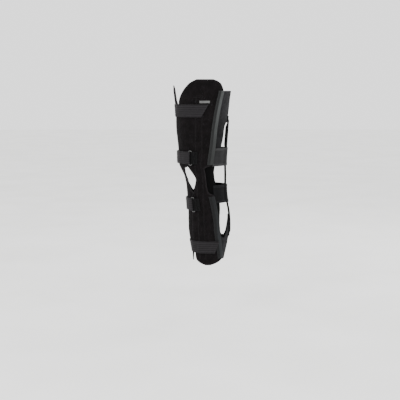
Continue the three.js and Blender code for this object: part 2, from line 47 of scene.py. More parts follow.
# The leg that every piece goes round. Tables run from the top down, "at" being a share of the
# length above or below the knee.
leg = {
    "upperLength": 0.317,
    "lowerLength": 0.284,
    "thigh": (0.158, 0.148),  # depth, width
    "knee": (0.117, 0.114),
    "calf": (0.125, 0.116),
    "ankle": (0.093, 0.080),
    "soften": 0.009,  # how far the sections blend into each other
}
legRows = [  # at, size, share of its depth, share of its width, shift to the rear by knee depths
    (1, "thigh", 1.158, 1.08, -0.107),
    (0.877, "thigh", 1.13, 1.06, -0.113),
    (0.784, "thigh", 1.076, 1.034, -0.115),
    (0.69, "thigh", 1.035, 1.014, -0.113),
    (0.588, "thigh", 1.006, 1.0, -0.124),
    (0.505, "thigh", 0.994, 0.986, -0.132),
    (0.413, "thigh", 0.959, 0.96, -0.126),
    (0.3, "thigh", 0.916, 0.912, -0.12),
    (0.206, "thigh", 0.899, 0.872, -0.13),
    (0.134, "thigh", 0.896, 0.838, -0.13),
    (0.072, "knee", 1.113, 1.053, -0.078),
    (0.02, "knee", 1.05, 1.018, -0.042),
    (-0.067, "knee", 1.0, 1.0, -0.021),
    (-0.167, "knee", 0.986, 1.0, -0.006),
    (-0.255, "calf", 0.936, 0.991, 0.013),
    (-0.367, "calf", 0.978, 1.0, 0.054),
    (-0.478, "calf", 1.0, 1.0, 0.069),
    (-0.6, "calf", 1.0, 0.966, 0.075),
    (-0.679, "calf", 0.96, 0.91, 0.081),
    (-0.767, "calf", 0.886, 0.83, 0.086),
    (-0.856, "ankle", 1.07, 1.09, 0.079),
    (-0.923, "ankle", 1.032, 1.02, 0.064),
    (-1, "ankle", 0.946, 0.95, 0.051),
]
layer = {"back": 0.004, "front": 0.003, "side": 0.004, "gap": 0.0009}
sideInner = layer["back"] + layer["gap"]
sideOuter = sideInner + layer["side"]
frontLine, rearLine, insideLine = -90, 90, -180
tableReach = {"bottom": -0.34, "top": 0.37, "step": 0.0005}  # heights that the tables are read at


def heightOf(at):
    return at * (leg["upperLength"] if at > 0 else leg["lowerLength"])


def shareOf(z):
    z = np.asarray(z, float)
    return z / np.where(z > 0, leg["upperLength"], leg["lowerLength"])


def bell(away, width):
    return np.exp(-0.5 * (away / width) ** 2)


def blurred(values, reach, step, width):
    weights = bell(np.arange(-reach, reach + 1) * step, width)
    return np.convolve(np.pad(values, reach, mode="edge"), weights / weights.sum(), mode="valid")


def profile(ats, values, soften):
    # a table read at any height, its corners rounded over a short reach
    step = tableReach["step"]
    heights = np.arange(tableReach["bottom"], tableReach["top"], step)
    read = np.interp(shareOf(heights), ats[::-1], values[::-1])
    smooth = blurred(read, int(3 * soften / step), step, soften)
    return lambda z: np.interp(z, heights, smooth)


def columnOf(rows, index, soften=0.002):
    return profile([row[0] for row in rows], [row[index] for row in rows], soften)


legAts = [row[0] for row in legRows]
halfDepthAt = profile(legAts, [row[2] * leg[row[1]][0] / 2 for row in legRows], leg["soften"])
halfWidthAt = profile(legAts, [row[3] * leg[row[1]][1] / 2 for row in legRows], leg["soften"])
middleAt = profile(legAts, [row[4] * leg["knee"][0] for row in legRows], leg["soften"])


def place(angle, z, offset):
    # points on the leg at an angle (0 the outer side, 90 the rear) and a height, moved outwards
    angle, z, offset = np.broadcast_arrays(angle, z, offset)
    turn = np.radians(angle)
    depth, width = halfDepthAt(z), halfWidthAt(z)
    outX, outY = depth * np.cos(turn), width * np.sin(turn)
    length = np.hypot(outX, outY)
    x = width * np.cos(turn) + offset * outX / length
    y = middleAt(z) + depth * np.sin(turn) + offset * outY / length
    return np.stack([x, y, z + 0 * x], axis=-1)


def degreesFor(length, angle, z, offset):
    reach = place(np.asarray(angle) + 0.5, z, offset) - place(np.asarray(angle) - 0.5, z, offset)
    return length / np.linalg.norm(reach, axis=-1)


def smoothstep(value, low, high):
    share = np.clip((value - low) / (high - low), 0, 1)
    return share * share * (3 - 2 * share)


def plateau(value, rise, full, fall, foot):
    return smoothstep(value, rise, full) * (1 - smoothstep(value, fall, foot))


def mixed(low, high, share):
    return low + (high - low) * share


def unit(vectors):
    return vectors / np.linalg.norm(vectors, axis=-1, keepdims=True)


def lengthAlong(points):
    return np.concatenate([[0], np.cumsum(np.linalg.norm(np.diff(points, axis=0), axis=1))])


def unevenness(points, size, seed):
    # soft noise over points of a piece, from -1 to 1; each seed reads another part of the noise
    flat = points.reshape(-1, 3)
    shift = Vector((seed * 3.7, seed * 1.3, seed * 7.1))
    values = [noise.noise(Vector(point) + shift) for point in flat / np.asarray(size)]
    return np.array(values).reshape(points.shape[:-1])


# Materials

def paint(code):
    # an sRGB hex colour as a linear one
    parts = [int(code[k:k + 2], 16) / 255 for k in (1, 3, 5)]
    linear = [p / 12.92 if p <= 0.04045 else ((p + 0.055) / 1.055) ** 2.4 for p in parts]
    return (*linear, 1)


def addNode(tree, kind, settings=None, links=None):
    # inputs go by name, or by number where several share a name
    node = tree.nodes.new(kind)
    for name, value in (settings or {}).items():
        if isinstance(name, int) or name in node.inputs:
            node.inputs[name].default_value = value
        else:
            setattr(node, name, value)
    for name, socket in (links or {}).items():
        tree.links.new(socket, node.inputs[name])
    return node


dyeCloud = 0.018  # size of the faint clouds that the dye leaves in woven cloth


def waveScale(period):
    return math.pi / (10 * period)  # the Wave texture repeats every pi / 10 at scale 1


def startMaterial(name):
    material = bpy.data.materials.new(name)
    material.use_nodes = True
    tree = material.node_tree
    tree.nodes.clear()
    return material, tree


def finishMaterial(tree, surface, colour, height, bump, depth):
    bumped = addNode(tree, "ShaderNodeBump", {"Strength": bump, "Distance": depth}, {"Height": height})
    links = {"Base Color": colour, "Normal": bumped.outputs["Normal"]}
    shader = addNode(tree, "ShaderNodeBsdfPrincipled", surface, links)
    addNode(tree, "ShaderNodeOutputMaterial", {}, {"Surface": shader.outputs["BSDF"]})


def coloured(tree, low, high, factor, start=0.0, end=1.0):
    span = addNode(tree, "ShaderNodeMapRange", {"From Min": start, "From Max": end}, {"Value": factor})
    mix = addNode(tree, "ShaderNodeMix", {"data_type": "RGBA"}, {"Factor": span.outputs["Result"]})
    for socket, value in ((mix.inputs[6], low), (mix.inputs[7], high)):
        if isinstance(value, str):
            socket.default_value = paint(value)
        else:
            tree.links.new(value, socket)
    return mix.outputs[2]


def brushedLoop(name, look):
    # Nylon loop fabric brushed up over foam: matt, a short nap that lifts the edges' tone,
    # cloudy where the nap lies over, with pale lint caught in it.
    material, tree = startMaterial(name)
    place3d = addNode(tree, "ShaderNodeTexCoord").outputs["Object"]
    patterns = (
        {"Scale": 1 / look["cloud"], "Detail": 3},
        {"Scale": 1 / look["nap"], "Detail": 4, "Roughness": 0.65},
        {"Scale": 1 / look["lintSize"], "Detail": 2, "Distortion": 1.5},
    )
    cloud, nap, lint = (
        addNode(tree, "ShaderNodeTexNoise", pattern, {"Vector": place3d}).outputs[0] for pattern in patterns
    )
    base = coloured(tree, look["dark"], look["light"], cloud, start=0.35, end=0.68)
    tufts = coloured(tree, look["dark"], look["light"], nap, start=0.38, end=0.72)
    both = addNode(tree, "ShaderNodeMix", {"data_type": "RGBA", "Factor": 0.5}, {6: base, 7: tufts})
    speckled = coloured(tree, both.outputs[2], look["lint"], lint, *look["lintShare"])
    # above zero the attribute mixes in the rubbed colour; below zero it paints shade
    wearAndPaintedLight = addNode(tree, "ShaderNodeAttribute", {"attribute_name": "wearAndPaintedLight"}).outputs["Fac"]
    rubbedAndHighlit = coloured(tree, speckled, look["worn"], wearAndPaintedLight)
    shaded = coloured(tree, rubbedAndHighlit, look["paintedShade"], wearAndPaintedLight, end=-1.0)  # below zero the attribute paints shade, darkening the cloth towards its painted shade colour
    surface = {
        "Roughness": 0.95,
        "IOR": 1.53,
        "Specular IOR Level": look["gloss"],
        "Sheen Weight": look["sheen"],
        "Sheen Roughness": 0.55,
        "Sheen Tint": paint(look["sheenTint"]),
    }
    height = addNode(tree, "ShaderNodeMath", {"operation": "MULTIPLY_ADD", 1: 0.6}, {0: cloud, 2: nap})
    finishMaterial(tree, surface, shaded, height.outputs[0], look["bump"], depth=0.0012)
    return material


def ribbedWeave(name, look):
    # Woven or knitted polyester: yarns across and along, drawn at a little over their real
    # spacing so that they still show, and a faint unevenness of the dye.
    material, tree = startMaterial(name)
    onCloth = addNode(tree, "ShaderNodeUVMap", {"uv_map": "cloth"}).outputs["UV"]
    waves = []
    for direction, spacing in (("X", look["along"]), ("Y", look["across"])):
        pattern = {"bands_direction": direction, "Scale": waveScale(spacing), "Distortion": 0.6, "Detail": 1}
        waves.append(addNode(tree, "ShaderNodeTexWave", pattern, {"Vector": onCloth}).outputs[1])
    yarns = addNode(tree, "ShaderNodeMath", {"operation": "MULTIPLY"}, dict(enumerate(waves))).outputs[0]
    dyePattern = {"Scale": 1 / dyeCloud, "Detail": 5}
    dye = addNode(tree, "ShaderNodeTexNoise", dyePattern, {"Vector": onCloth}).outputs[0]
    woven = coloured(tree, look["dark"], look["light"], yarns, end=0.85)
    dyed = coloured(tree, look["light"], look["dark"], dye, start=0.35, end=0.7)
    both = addNode(tree, "ShaderNodeMix", {"data_type": "RGBA", "Factor": 0.35}, {6: woven, 7: dyed})
    # the attribute mixes in a lighter colour: real rubbing, and on the edge tapes a painted highlight along
    # the ridge
    wearAndPaintedLight = addNode(tree, "ShaderNodeAttribute", {"attribute_name": "wearAndPaintedLight"}).outputs["Fac"]
    rubbedAndHighlit = coloured(tree, both.outputs[2], look["worn"], wearAndPaintedLight)
    surface = {
        "Roughness": look["roughness"],
        "IOR": 1.55,
        "Specular IOR Level": look["gloss"],
        "Sheen Weight": look["sheen"],
        "Sheen Roughness": 0.4,
        "Sheen Tint": paint(look["sheenTint"]),
    }
    height = addNode(tree, "ShaderNodeMath", {"operation": "MULTIPLY_ADD", 1: 0.3}, {0: dye, 2: yarns})
    finishMaterial(tree, surface, rubbedAndHighlit, height.outputs[0], look["bump"], depth=0.0005)
    return material


def mouldedNylon(name, look):
    # Injection-moulded nylon: smooth and glossy, with faint flow marks and rubbed spots.
    material, tree = startMaterial(name)
    place3d = addNode(tree, "ShaderNodeTexCoord").outputs["Object"]
    patterns = ({"Scale": 1 / look["flow"], "Detail": 3}, {"Scale": 1 / look["rub"], "Detail": 6})
    flow, rub = (
        addNode(tree, "ShaderNodeTexNoise", pattern, {"Vector": place3d}).outputs[0] for pattern in patterns
    )
    colour = coloured(tree, look["dark"], look["light"], rub, start=0.4, end=0.8)
    surface = {"Roughness": look["roughness"], "IOR": 1.53, "Specular IOR Level": look["gloss"]}
    finishMaterial(tree, surface, colour, flow, look["bump"], depth=0.0004)
    return material


# Colours, and real sizes in metres of what each cloth shows
looks = {
    "panelLoop": {
        "dark": "#060505", "light": "#131011", "worn": "#2c292b", "cloud": 0.021, "nap": 0.0021,
        "lint": "#242326", "lintSize": 0.0034, "lintShare": (0.63, 0.75), "gloss": 0.06, "sheen": 0.02,
        "sheenTint": "#8d8a90", "bump": 0.5, "paintedShade": "#030303",
    },
    # the rear cloth's last colour is the painted shade laid behind the knee
    "rearLoop": {
        "dark": "#161617", "light": "#29292b", "worn": "#3f3f41", "cloud": 0.017, "nap": 0.0019,
        "lint": "#3c3c3d", "lintSize": 0.0034, "lintShare": (0.64, 0.74), "gloss": 0.08, "sheen": 0.03,
        "sheenTint": "#9a999c", "bump": 0.4, "paintedShade": "#010101",
    },
    "strap": {
        "dark": "#0d0c0d", "light": "#1d1b1d", "worn": "#322f32", "along": 0.0024, "across": 0.0016,
        "roughness": 0.8, "gloss": 0.12, "sheen": 0.04, "sheenTint": "#a5a5a5", "bump": 0.35,
    },
    "elastic": {
        "dark": "#141415", "light": "#272728", "worn": "#3a3a3b", "along": 0.0019, "across": 0.0042,
        "roughness": 0.8, "gloss": 0.1, "sheen": 0.03, "sheenTint": "#a7a9ac", "bump": 0.5,
    },
    "lowerElastic": {
        "dark": "#040405", "light": "#0b0b0c", "worn": "#151617", "along": 0.0019, "across": 0.0042,
        "roughness": 0.8, "gloss": 0.08, "sheen": 0.03, "sheenTint": "#a0a4aa", "bump": 0.5,
    },
    # on the tapes the lightest colour is a painted highlight along the ridge, and real rubbing at the rims
    "tape": {
        "dark": "#101111", "light": "#1e1f1f", "worn": "#3a3c3c", "along": 0.0016, "across": 0.0016,
        "roughness": 0.7, "gloss": 0.14, "sheen": 0.04, "sheenTint": "#b4b8b9", "bump": 0.3,
    },
    # the same tape painted darker as shade, for the lower tapes that face down
    "lowerTape": {
        "dark": "#070708", "light": "#0e0f10", "worn": "#1d1f21", "along": 0.0016, "across": 0.0016,
        "roughness": 0.7, "gloss": 0.14, "sheen": 0.04, "sheenTint": "#b4b8b9", "bump": 0.3,
    },
    "sleeve": {
        "dark": "#030303", "light": "#0b0b0c", "worn": "#1c1c1d", "along": 0.002, "across": 0.0017,
        "roughness": 0.75, "gloss": 0.06, "sheen": 0.02, "sheenTint": "#7c7c7e", "bump": 0.4,
    },
    "thread": {
        "dark": "#0c0c0d", "light": "#1b1b1c", "worn": "#1b1b1c", "along": 0.0008, "across": 0.0008,
        "roughness": 0.6, "gloss": 0.2, "sheen": 0.05, "sheenTint": "#aaaaaa", "bump": 0.1,
    },
    "satin": {
        "dark": "#3d3d3d", "light": "#666665", "worn": "#343433", "along": 0.0009, "across": 0.0014,
        "roughness": 0.45, "gloss": 0.3, "sheen": 0.05, "sheenTint": "#ffffff", "bump": 0.25,
    },
    "nylon": {
        "dark": "#060607", "light": "#131315", "roughness": 0.17, "gloss": 0.9,
        "flow": 0.004, "rub": 0.009, "bump": 0.12,
    },
}
panelLoop = brushedLoop("brushed loop fabric black", looks["panelLoop"])
rearLoop = brushedLoop("brushed loop fabric charcoal", looks["rearLoop"])
strapWeave = ribbedWeave("ribbed polyester webbing", looks["strap"])
elasticKnit = ribbedWeave("knitted elastic grey", looks["elastic"])
lowerElasticKnit = ribbedWeave("knitted elastic dark", looks["lowerElastic"])
tapeWeave = ribbedWeave("folded twill tape grey", looks["tape"])
lowerTapeWeave = ribbedWeave("folded twill tape grey in painted shade", looks["lowerTape"])
sleeveWeave = ribbedWeave("woven nylon sleeve black", looks["sleeve"])
threadTwist = ribbedWeave("polyester thread", looks["thread"])
tagSatin = ribbedWeave("woven satin light grey", looks["satin"])
glossyNylon = mouldedNylon("moulded nylon black", looks["nylon"])
print("materials made")


# Meshes: a closed shell over a grid of points, with round rims where the cloth ends

rim = {
    "steps": (0, 0.07, 0.3, 0.65, 1.0, 1.5, 2.0, 2.6),  # rows of points near an edge, in units
    "unit": 0.002,
    "row": 0.0026,  # spacing of the rows further in
    "sample": 0.0005,  # spacing of the points that stand for an edge
    "rounding": 1.035,  # radius of a padded rim in half thicknesses
    "reliefFull": 0.006,  # relief reaches its full height this far in
    "puffRamp": (0.004, 0.014),  # padding rises between these distances from the edge
    "wearAndPaintedLight": (0.7, 0.0016),  # strength and reach of the rubbing along a panel's edge
    "clothWear": (0.4, 0.001),  # the same on webbing, tape and elastic
}
rimSteps = np.array(rim["steps"]) * rim["unit"]
rimShares = np.array(rim["steps"]) / rim["steps"][-1]


def rowsBetween(bottom, top, step=rim["row"], finer=()):
    # heights of a grid's rows: close at both ends and in the finer ranges
    count = int(math.ceil((top - bottom - 2 * rimSteps[-1]) / step))
    middle = np.linspace(bottom + rimSteps[-1], top - rimSteps[-1], count + 1)
    for low, high, small in finer:
        middle = middle[(middle < low) | (middle > high)]
        middle = np.concatenate([middle, np.arange(low, high, small)])
    return np.unique(np.round(np.concatenate([bottom + rimSteps, middle, top - rimSteps]), 7))


def finerRows(look):
    return [(heightOf(low), heightOf(high), step) for low, high, step in look["finer"]]


def heightsOver(levels, angle):
    return np.repeat(levels[:, None], angle.shape[1], axis=1)


def allFilled(grid):
    return np.ones((grid.shape[0] - 1, grid.shape[1] - 1), bool)


def addObject(name, data):
    obj = bpy.data.objects.new(name, data)
    bpy.context.scene.collection.objects.link(obj)
    return obj


def makeMesh(name, points, faces, material, uv=None, wearAndPaintedLight=None):
    mesh = bpy.data.meshes.new(name)
    mesh.from_pydata(points.tolist(), [], faces.tolist() if hasattr(faces, "tolist") else faces)
    if uv is not None:
        corners = np.zeros(len(mesh.loops), np.int32)
        mesh.loops.foreach_get("vertex_index", corners)
        layerOut = mesh.uv_layers.new(name="cloth")
        layerOut.data.foreach_set("uv", uv[corners].ravel())
    # the point attribute holds real rubbing, a painted highlight on the edge tapes and, below zero, painted
    # shade on the rear panel
    if wearAndPaintedLight is not None:
        mesh.attributes.new("wearAndPaintedLight", "FLOAT", "POINT").data.foreach_set("value", wearAndPaintedLight)
    mesh.materials.append(material)
    mesh.shade_smooth()
    mesh.validate()
    return addObject(name, mesh)


def borderOf(filled):
    # grid points on the border of the filled cells, or outside them
    rows, columns = filled.shape
    full = np.zeros((rows + 1, columns + 1), int)
    for dj in (0, 1):
        for di in (0, 1):
            full[dj:rows + dj, di:columns + di] += filled
    return full < 4, full > 0


def edgeDistance(flat, filled):
    # how far each grid point lies from the cloth's edge, on the flat cloth
    rows, columns = filled.shape
    wide = np.zeros((rows + 2, columns + 2), bool)
    wide[1:-1, 1:-1] = filled
    marks = []
    for j, i in zip(*np.nonzero(wide[1:, 1:-1] != wide[:-1, 1:-1])):
        marks.append((flat[j, i], flat[j, i + 1]))
    for j, i in zip(*np.nonzero(wide[1:-1, 1:] != wide[1:-1, :-1])):
        marks.append((flat[j, i], flat[j + 1, i]))
    samples = []
    for start, end in marks:
        count = max(1, int(np.linalg.norm(end - start) / rim["sample"]))
        samples.extend(start + (end - start) * k / count for k in range(count + 1))
    tree = KDTree(len(samples))
    for k, sample in enumerate(samples):
        tree.insert((sample[0], sample[1], 0), k)
    tree.balance()
    far = [tree.find((u, v, 0))[2] for u, v in flat.reshape(-1, 2)]
    return np.array(far).reshape(flat.shape[:2])


def closedShell(name, inner, outer, flat, filled, material, wearAndPaintedLight):
    # inner and outer are grids of points that meet along the cloth's edge
    rows, columns = inner.shape[:2]
    border, used = borderOf(filled)
    ids = np.full((2, rows, columns), -1)
    ids[0][used] = np.arange(used.sum())
    free = used & ~border
    ids[1] = ids[0]
    ids[1][free] = used.sum() + np.arange(free.sum())
    points = np.concatenate([inner[used], outer[free]])
    uv = np.concatenate([flat[used], flat[free]])
    j, i = np.nonzero(filled)
    out = [ids[1][j, i], ids[1][j, i + 1], ids[1][j + 1, i + 1], ids[1][j + 1, i]]
    back = [ids[0][j, i], ids[0][j + 1, i], ids[0][j + 1, i + 1], ids[0][j, i + 1]]
    faces = np.concatenate([np.stack(out, axis=1), np.stack(back, axis=1)])
    wornPoints = np.concatenate([wearAndPaintedLight[used], wearAndPaintedLight[free]])
    return makeMesh(name, points, keepOpenCorners(faces), material, uv, wornPoints)


def keepOpenCorners(faces):
    # a corner cell with all four points on the border would lie on its own back, so both go
    flatSets = np.sort(faces, axis=1)
    _, first, counts = np.unique(flatSets, axis=0, return_index=True, return_counts=True)
    return faces[np.sort(first[counts == 1])]


def flatGrid(angle, z, offset):
    # arc length round the leg from the middle of the outer side, and height
    fine = np.arange(-200, 361, 1.0)
    flat = np.zeros(angle.shape + (2,))
    for j in range(angle.shape[0]):
        length = lengthAlong(place(fine, z[j, 0], offset))
        flat[j, :, 0] = np.interp(angle[j], fine, length - np.interp(0, fine, length))
        flat[j, :, 1] = z[j]
    return flat


def roundRim(distance, radius):
    share = np.clip(distance / radius, 0, 1)
    return np.sqrt(np.clip(1 - (1 - share) ** 2, 0, 1))


def padOn(name, angle, z, inner, outer, filled, material, relief, seam, wearAndShadeOf):
    # a padded wall between two heights over the leg; relief adds to its outer face
    flat = flatGrid(angle, z, (inner + outer).mean() / 2)
    distance = edgeDistance(flat, filled)
    middle, half = (inner + outer) / 2, (outer - inner) / 2
    rounding = roundRim(distance, rim["rounding"] * half.mean())
    added = relief(angle, z, distance) * smoothstep(distance, 0, rim["reliefFull"])
    added = added - seam["depth"] * bell(distance - seam["inset"], seam["width"])
    innerPoints = place(angle, z, middle - half * rounding)
    outerPoints = place(angle, z, middle + half * rounding + added)
    return closedShell(name, innerPoints, outerPoints, flat, filled, material, wearAndShadeOf(angle, z, distance))


def puffed(look, distance):
    # padding swells up inside a panel's seam
    return look["puff"] * (smoothstep(distance, *rim["puffRamp"]) - look["flatShare"])


def edgeWear(angle, z, distance):
    strength, reach = rim["wearAndPaintedLight"]
    return strength * np.exp(-distance / reach)


def columnsFor(low, high, z, offset, knots, counts):
    # angles for each row: rim steps at both edges, and even steps between knots, which are arc
    # lengths from the low edge. An edge takes at most a sixth of a row.
    rows = []
    for j in range(len(z)):
        perDegree = 1 / degreesFor(1.0, (low[j] + high[j]) / 2, z[j], offset)
        width = (high[j] - low[j]) * perDegree
        edge = min(rimSteps[-1], 0.16 * width)
        stops = [edge, *knots(j, width, edge, perDegree), width - edge]
        line = list(rimShares[:-1] * edge)
        for start, end, count in zip(stops[:-1], stops[1:], counts):
            line += list(np.linspace(start, end, count, endpoint=False))
        line += list(width - rimShares[::-1] * edge)
        rows.append(low[j] + np.array(line) / perDegree)
    return np.array(rows)


def noKnots(*_):
    return ()


# Side panels

sidePanelLook = {
    "pocketWidth": 0.026,
    "pocketRise": 0.0018,
    "pocketRamp": 0.0036,
    "pocketTop": 0.84,
    "pocketBottom": -0.93,
    "besidePocket": 0.12,  # share of the width kept free of the pocket
    "rimRoom": 0.0006,  # least distance of the pocket from the rim
    "pocketEnd": 0.003,
    "cells": (14, 4, 9, 4, 14),  # across: cloth, ramp, pocket, ramp, cloth
    "finer": ((0.1, 0.145, 0.001), (-0.21, -0.14, 0.0014)),  # closer rows where the edge turns
    "puff": 0.0005,
    "flatShare": 0.4,
    "wrinkle": 0.0007,
    "rough": {"size": (0.03, 0.03, 0.03), "seed": 1},
    "roughShare": 0.35,
    "folds": {"size": (0.05, 0.05, 0.011), "seed": 2},
    "foldShare": (0.25, 0.9),  # everywhere, and more at the knee
    "kneeFolds": 0.05,  # how far from the knee the folds gather
    "shoulderWear": 0.45,
    "seam": {"inset": 0.0042, "width": 0.0008, "depth": 0.0004},
}
sideRows = [  # at, front, rear
    (1, -10, 20), (0.985, -18, 29), (0.96, -26, 37), (0.91, -36, 43), (0.877, -41.5, 45),
    (0.827, -49, 43.5), (0.784, -54, 42), (0.69, -58, 39), (0.505, -57, 35), (0.3, -55, 31.5),
    (0.206, -50, 29.5), (0.14, -39, 28), (0.131, -38, 20), (0.122, -37, 12), (0.105, -35.5, 4),
    (0.048, -30.3, 3.5), (0.016, -26.5, 3), (-0.025, -26.3, 2.5), (-0.082, -30.6, 3),
    (-0.146, -36.2, 6), (-0.167, -41, 10), (-0.184, -44, 21), (-0.2, -46, 23.5), (-0.255, -48, 25),
    (-0.367, -50, 26), (-0.478, -51, 28.5), (-0.6, -51.5, 30.5), (-0.679, -52.5, 33.5),
    (-0.767, -53, 39), (-0.874, -51, 49), (-0.923, -49, 54), (-0.945, -45, 48), (-0.965, -37, 39),
    (-0.985, -25, 24), (-1, -8, 6),
]
pocketRows = [(1, -5.5), (0.206, -7.5), (0, -14), (-0.367, -20), (-1, -20)]  # at, middle
sideFrontAt = columnOf(sideRows, 1)
sideRearAt = columnOf(sideRows, 2, 0.0012)
pocketMiddleAt = columnOf(pocketRows, 1, 0.006)


def pocketHeight(angle, z):
    look = sidePanelLook
    angle, z = np.broadcast_arrays(angle, z)
    middle = pocketMiddleAt(z)
    half = degreesFor(look["pocketWidth"] / 2, middle, z, sideOuter)
    ramp = degreesFor(look["pocketRamp"], middle, z, sideOuter)
    front, rear = sideFrontAt(z), sideRearAt(z)
    near = np.maximum(middle - half, mixed(front, rear, look["besidePocket"]))
    far = np.minimum(middle + half, mixed(front, rear, 1 - look["besidePocket"]))
    ramp = np.minimum(ramp, (far - near) / 4)
    inside = plateau(angle, near, near + ramp, far - ramp, far)
    low, high = heightOf(look["pocketBottom"]), heightOf(look["pocketTop"])
    ends = plateau(z, low, low + look["pocketEnd"], high - look["pocketEnd"], high)
    return look["pocketRise"] * inside * ends


strapLook = {
    "width": 0.040,
    "thickness": 0.0022,
    "ribs": 6,
    "ribHeight": 0.00028,
    "sewnAngle": 8,
    "foldedEnd": -128,
    "step": 0.002,
    "foldedStep": 0.0011,  # closer, for the turn round the ring
    "foldReach": 22,  # degrees over which a strap climbs to its ring
    "foldedGap": 0.6,  # in gaps, between the two layers
    "ontoSide": (8, 2),  # degrees before a side panel's edge where webbing starts and ends to climb
    "tapeClear": 0.9,  # least degrees from the sewn end to the tape
    "press": 0.0003,  # how deep a strap sinks into the cloth
    "pressRamp": (0.003, 0.002),
    "swell": 0.0005,  # how high the cloth swells beside it
    "swellAt": 0.006,
    "swellWidth": 0.004,
    "plain": {"thigh_strap": (0.686, -2, 12), "ankle_strap": (-0.786, 17, 27)},  # at, end angles
    "ringed": {"above_knee": (0.214, -26), "below_knee": (-0.293, -38.5)},  # at, ring angle
}
strapHeights = [heightOf(at) for at, *_ in (*strapLook["plain"].values(), *strapLook["ringed"].values())]


def pressedBy(z):
    # cloth sinks a little under each strap and swells beside it
    look = strapLook
    half = look["width"] / 2
    within, beyond = look["pressRamp"]
    total = np.zeros_like(z)
    for middle in strapHeights:
        away = np.abs(z - middle)
        total -= look["press"] * (1 - smoothstep(away, half - within, half + beyond))
        total += look["swell"] * bell(away - half - look["swellAt"], look["swellWidth"])
    return total


def sideRelief(angle, z, distance):
    look = sidePanelLook
    points = place(angle, z, sideOuter)
    rough, folds = unevenness(points, **look["rough"]), unevenness(points, **look["folds"])
    everywhere, atKnee = look["foldShare"]
    folds = folds * (everywhere + atKnee * bell(z, look["kneeFolds"]))
    wrinkle = look["wrinkle"] * (look["roughShare"] * rough + folds)
    return pocketHeight(angle, z) + puffed(look, distance) + wrinkle + pressedBy(z)


def sideWear(angle, z, distance):
    # the nap is rubbed along the edges and the stay pocket's shoulders
    full = pocketHeight(angle, z) / sidePanelLook["pocketRise"]
    return edgeWear(angle, z, distance) + sidePanelLook["shoulderWear"] * full * (1 - full)


def sidePanel(name):
    look = sidePanelLook
    levels = rowsBetween(-leg["lowerLength"], leg["upperLength"], finer=finerRows(look))
    front, rear = sideFrontAt(levels), sideRearAt(levels)
    middle = pocketMiddleAt(levels)

    def knots(j, width, edge, perDegree):
        centre = (middle[j] - front[j]) * perDegree
        half = look["pocketWidth"] / 2
        near = max(centre - half, look["besidePocket"] * width, edge + look["rimRoom"])
        far = min(centre + half, (1 - look["besidePocket"]) * width, width - edge - look["rimRoom"])
        ramp = min(look["pocketRamp"], (far - near) / 4)
        return near, near + ramp, far - ramp, far

    angle = columnsFor(front, rear, levels, sideOuter, knots, look["cells"])
    z, filled = heightsOver(levels, angle), allFilled(angle)
    inner, outer = np.full_like(angle, sideInner), np.full_like(angle, sideOuter)
    return padOn(name, angle, z, inner, outer, filled, panelLoop, sideRelief, look["seam"], sideWear)


def mirrorCopy(obj, name):
    # the same piece for the inner side of the leg
    mesh = obj.data.copy()
    mesh.name = name
    points = np.zeros(len(mesh.vertices) * 3)
    mesh.vertices.foreach_get("co", points)
    mesh.vertices.foreach_set("co", (points.reshape(-1, 3) * (-1, 1, 1)).ravel())
    mesh.flip_normals()
    return addObject(name, mesh)


outerPanel = sidePanel("outer_panel_padded")
innerPanel = mirrorCopy(outerPanel, "inner_panel_padded")
print("side panels made")


# Front panel

frontPanelLook = {
    "cells": (40,),
    "finer": ((0.1, 0.14, 0.0012),),
    "puff": 0.0004,
    "flatShare": 0.4,
    "wrinkle": 0.0005,
    "folds": {"size": (0.04, 0.04, 0.014), "seed": 4},
    "seam": {"inset": 0.0042, "width": 0.0008, "depth": 0.0003},
}
frontRows = [  # at, half width in degrees
    (0.94, 6), (0.925, 12), (0.89, 17), (0.784, 19), (0.745, 24), (0.7, 40), (0.505, 43),
    (0.3, 45), (0.206, 48), (0.134, 54), (0.12, 50), (0.107, 36), (0.085, 30.6), (0.064, 26.3),
    (0.04, 21.4), (0.014, 20.4), (-0.019, 24), (-0.067, 27), (-0.11, 37), (-0.148, 43.5),
    (-0.165, 51), (-0.255, 49), (-0.367, 47), (-0.679, 45), (-0.767, 43), (-0.81, 37),
    (-0.84, 28), (-0.868, 20), (-0.91, 16), (-0.945, 11), (-0.96, 6),
]


def frontPanel():
    look = frontPanelLook
    halfAt = columnOf(frontRows, 1)
    levels = rowsBetween(heightOf(frontRows[-1][0]), heightOf(frontRows[0][0]), finer=finerRows(look))
    half = halfAt(levels)
    angle = columnsFor(frontLine - half, frontLine + half, levels, layer["back"], noKnots, look["cells"])
    z, filled = heightsOver(levels, angle), allFilled(angle)
    inner = np.full_like(angle, layer["back"] - layer["front"])
    outer = np.full_like(angle, layer["back"])

    def relief(angle, z, distance):
        folds = unevenness(place(angle, z, layer["back"]), **look["folds"])
        return puffed(look, distance) + look["wrinkle"] * folds

    grids = (angle, z, inner, outer, filled)
    return padOn("front_panel_padded", *grids, panelLoop, relief, look["seam"], edgeWear), halfAt


frontObj, frontHalfAt = frontPanel()
print("front panel made")


# Rear panel with its window

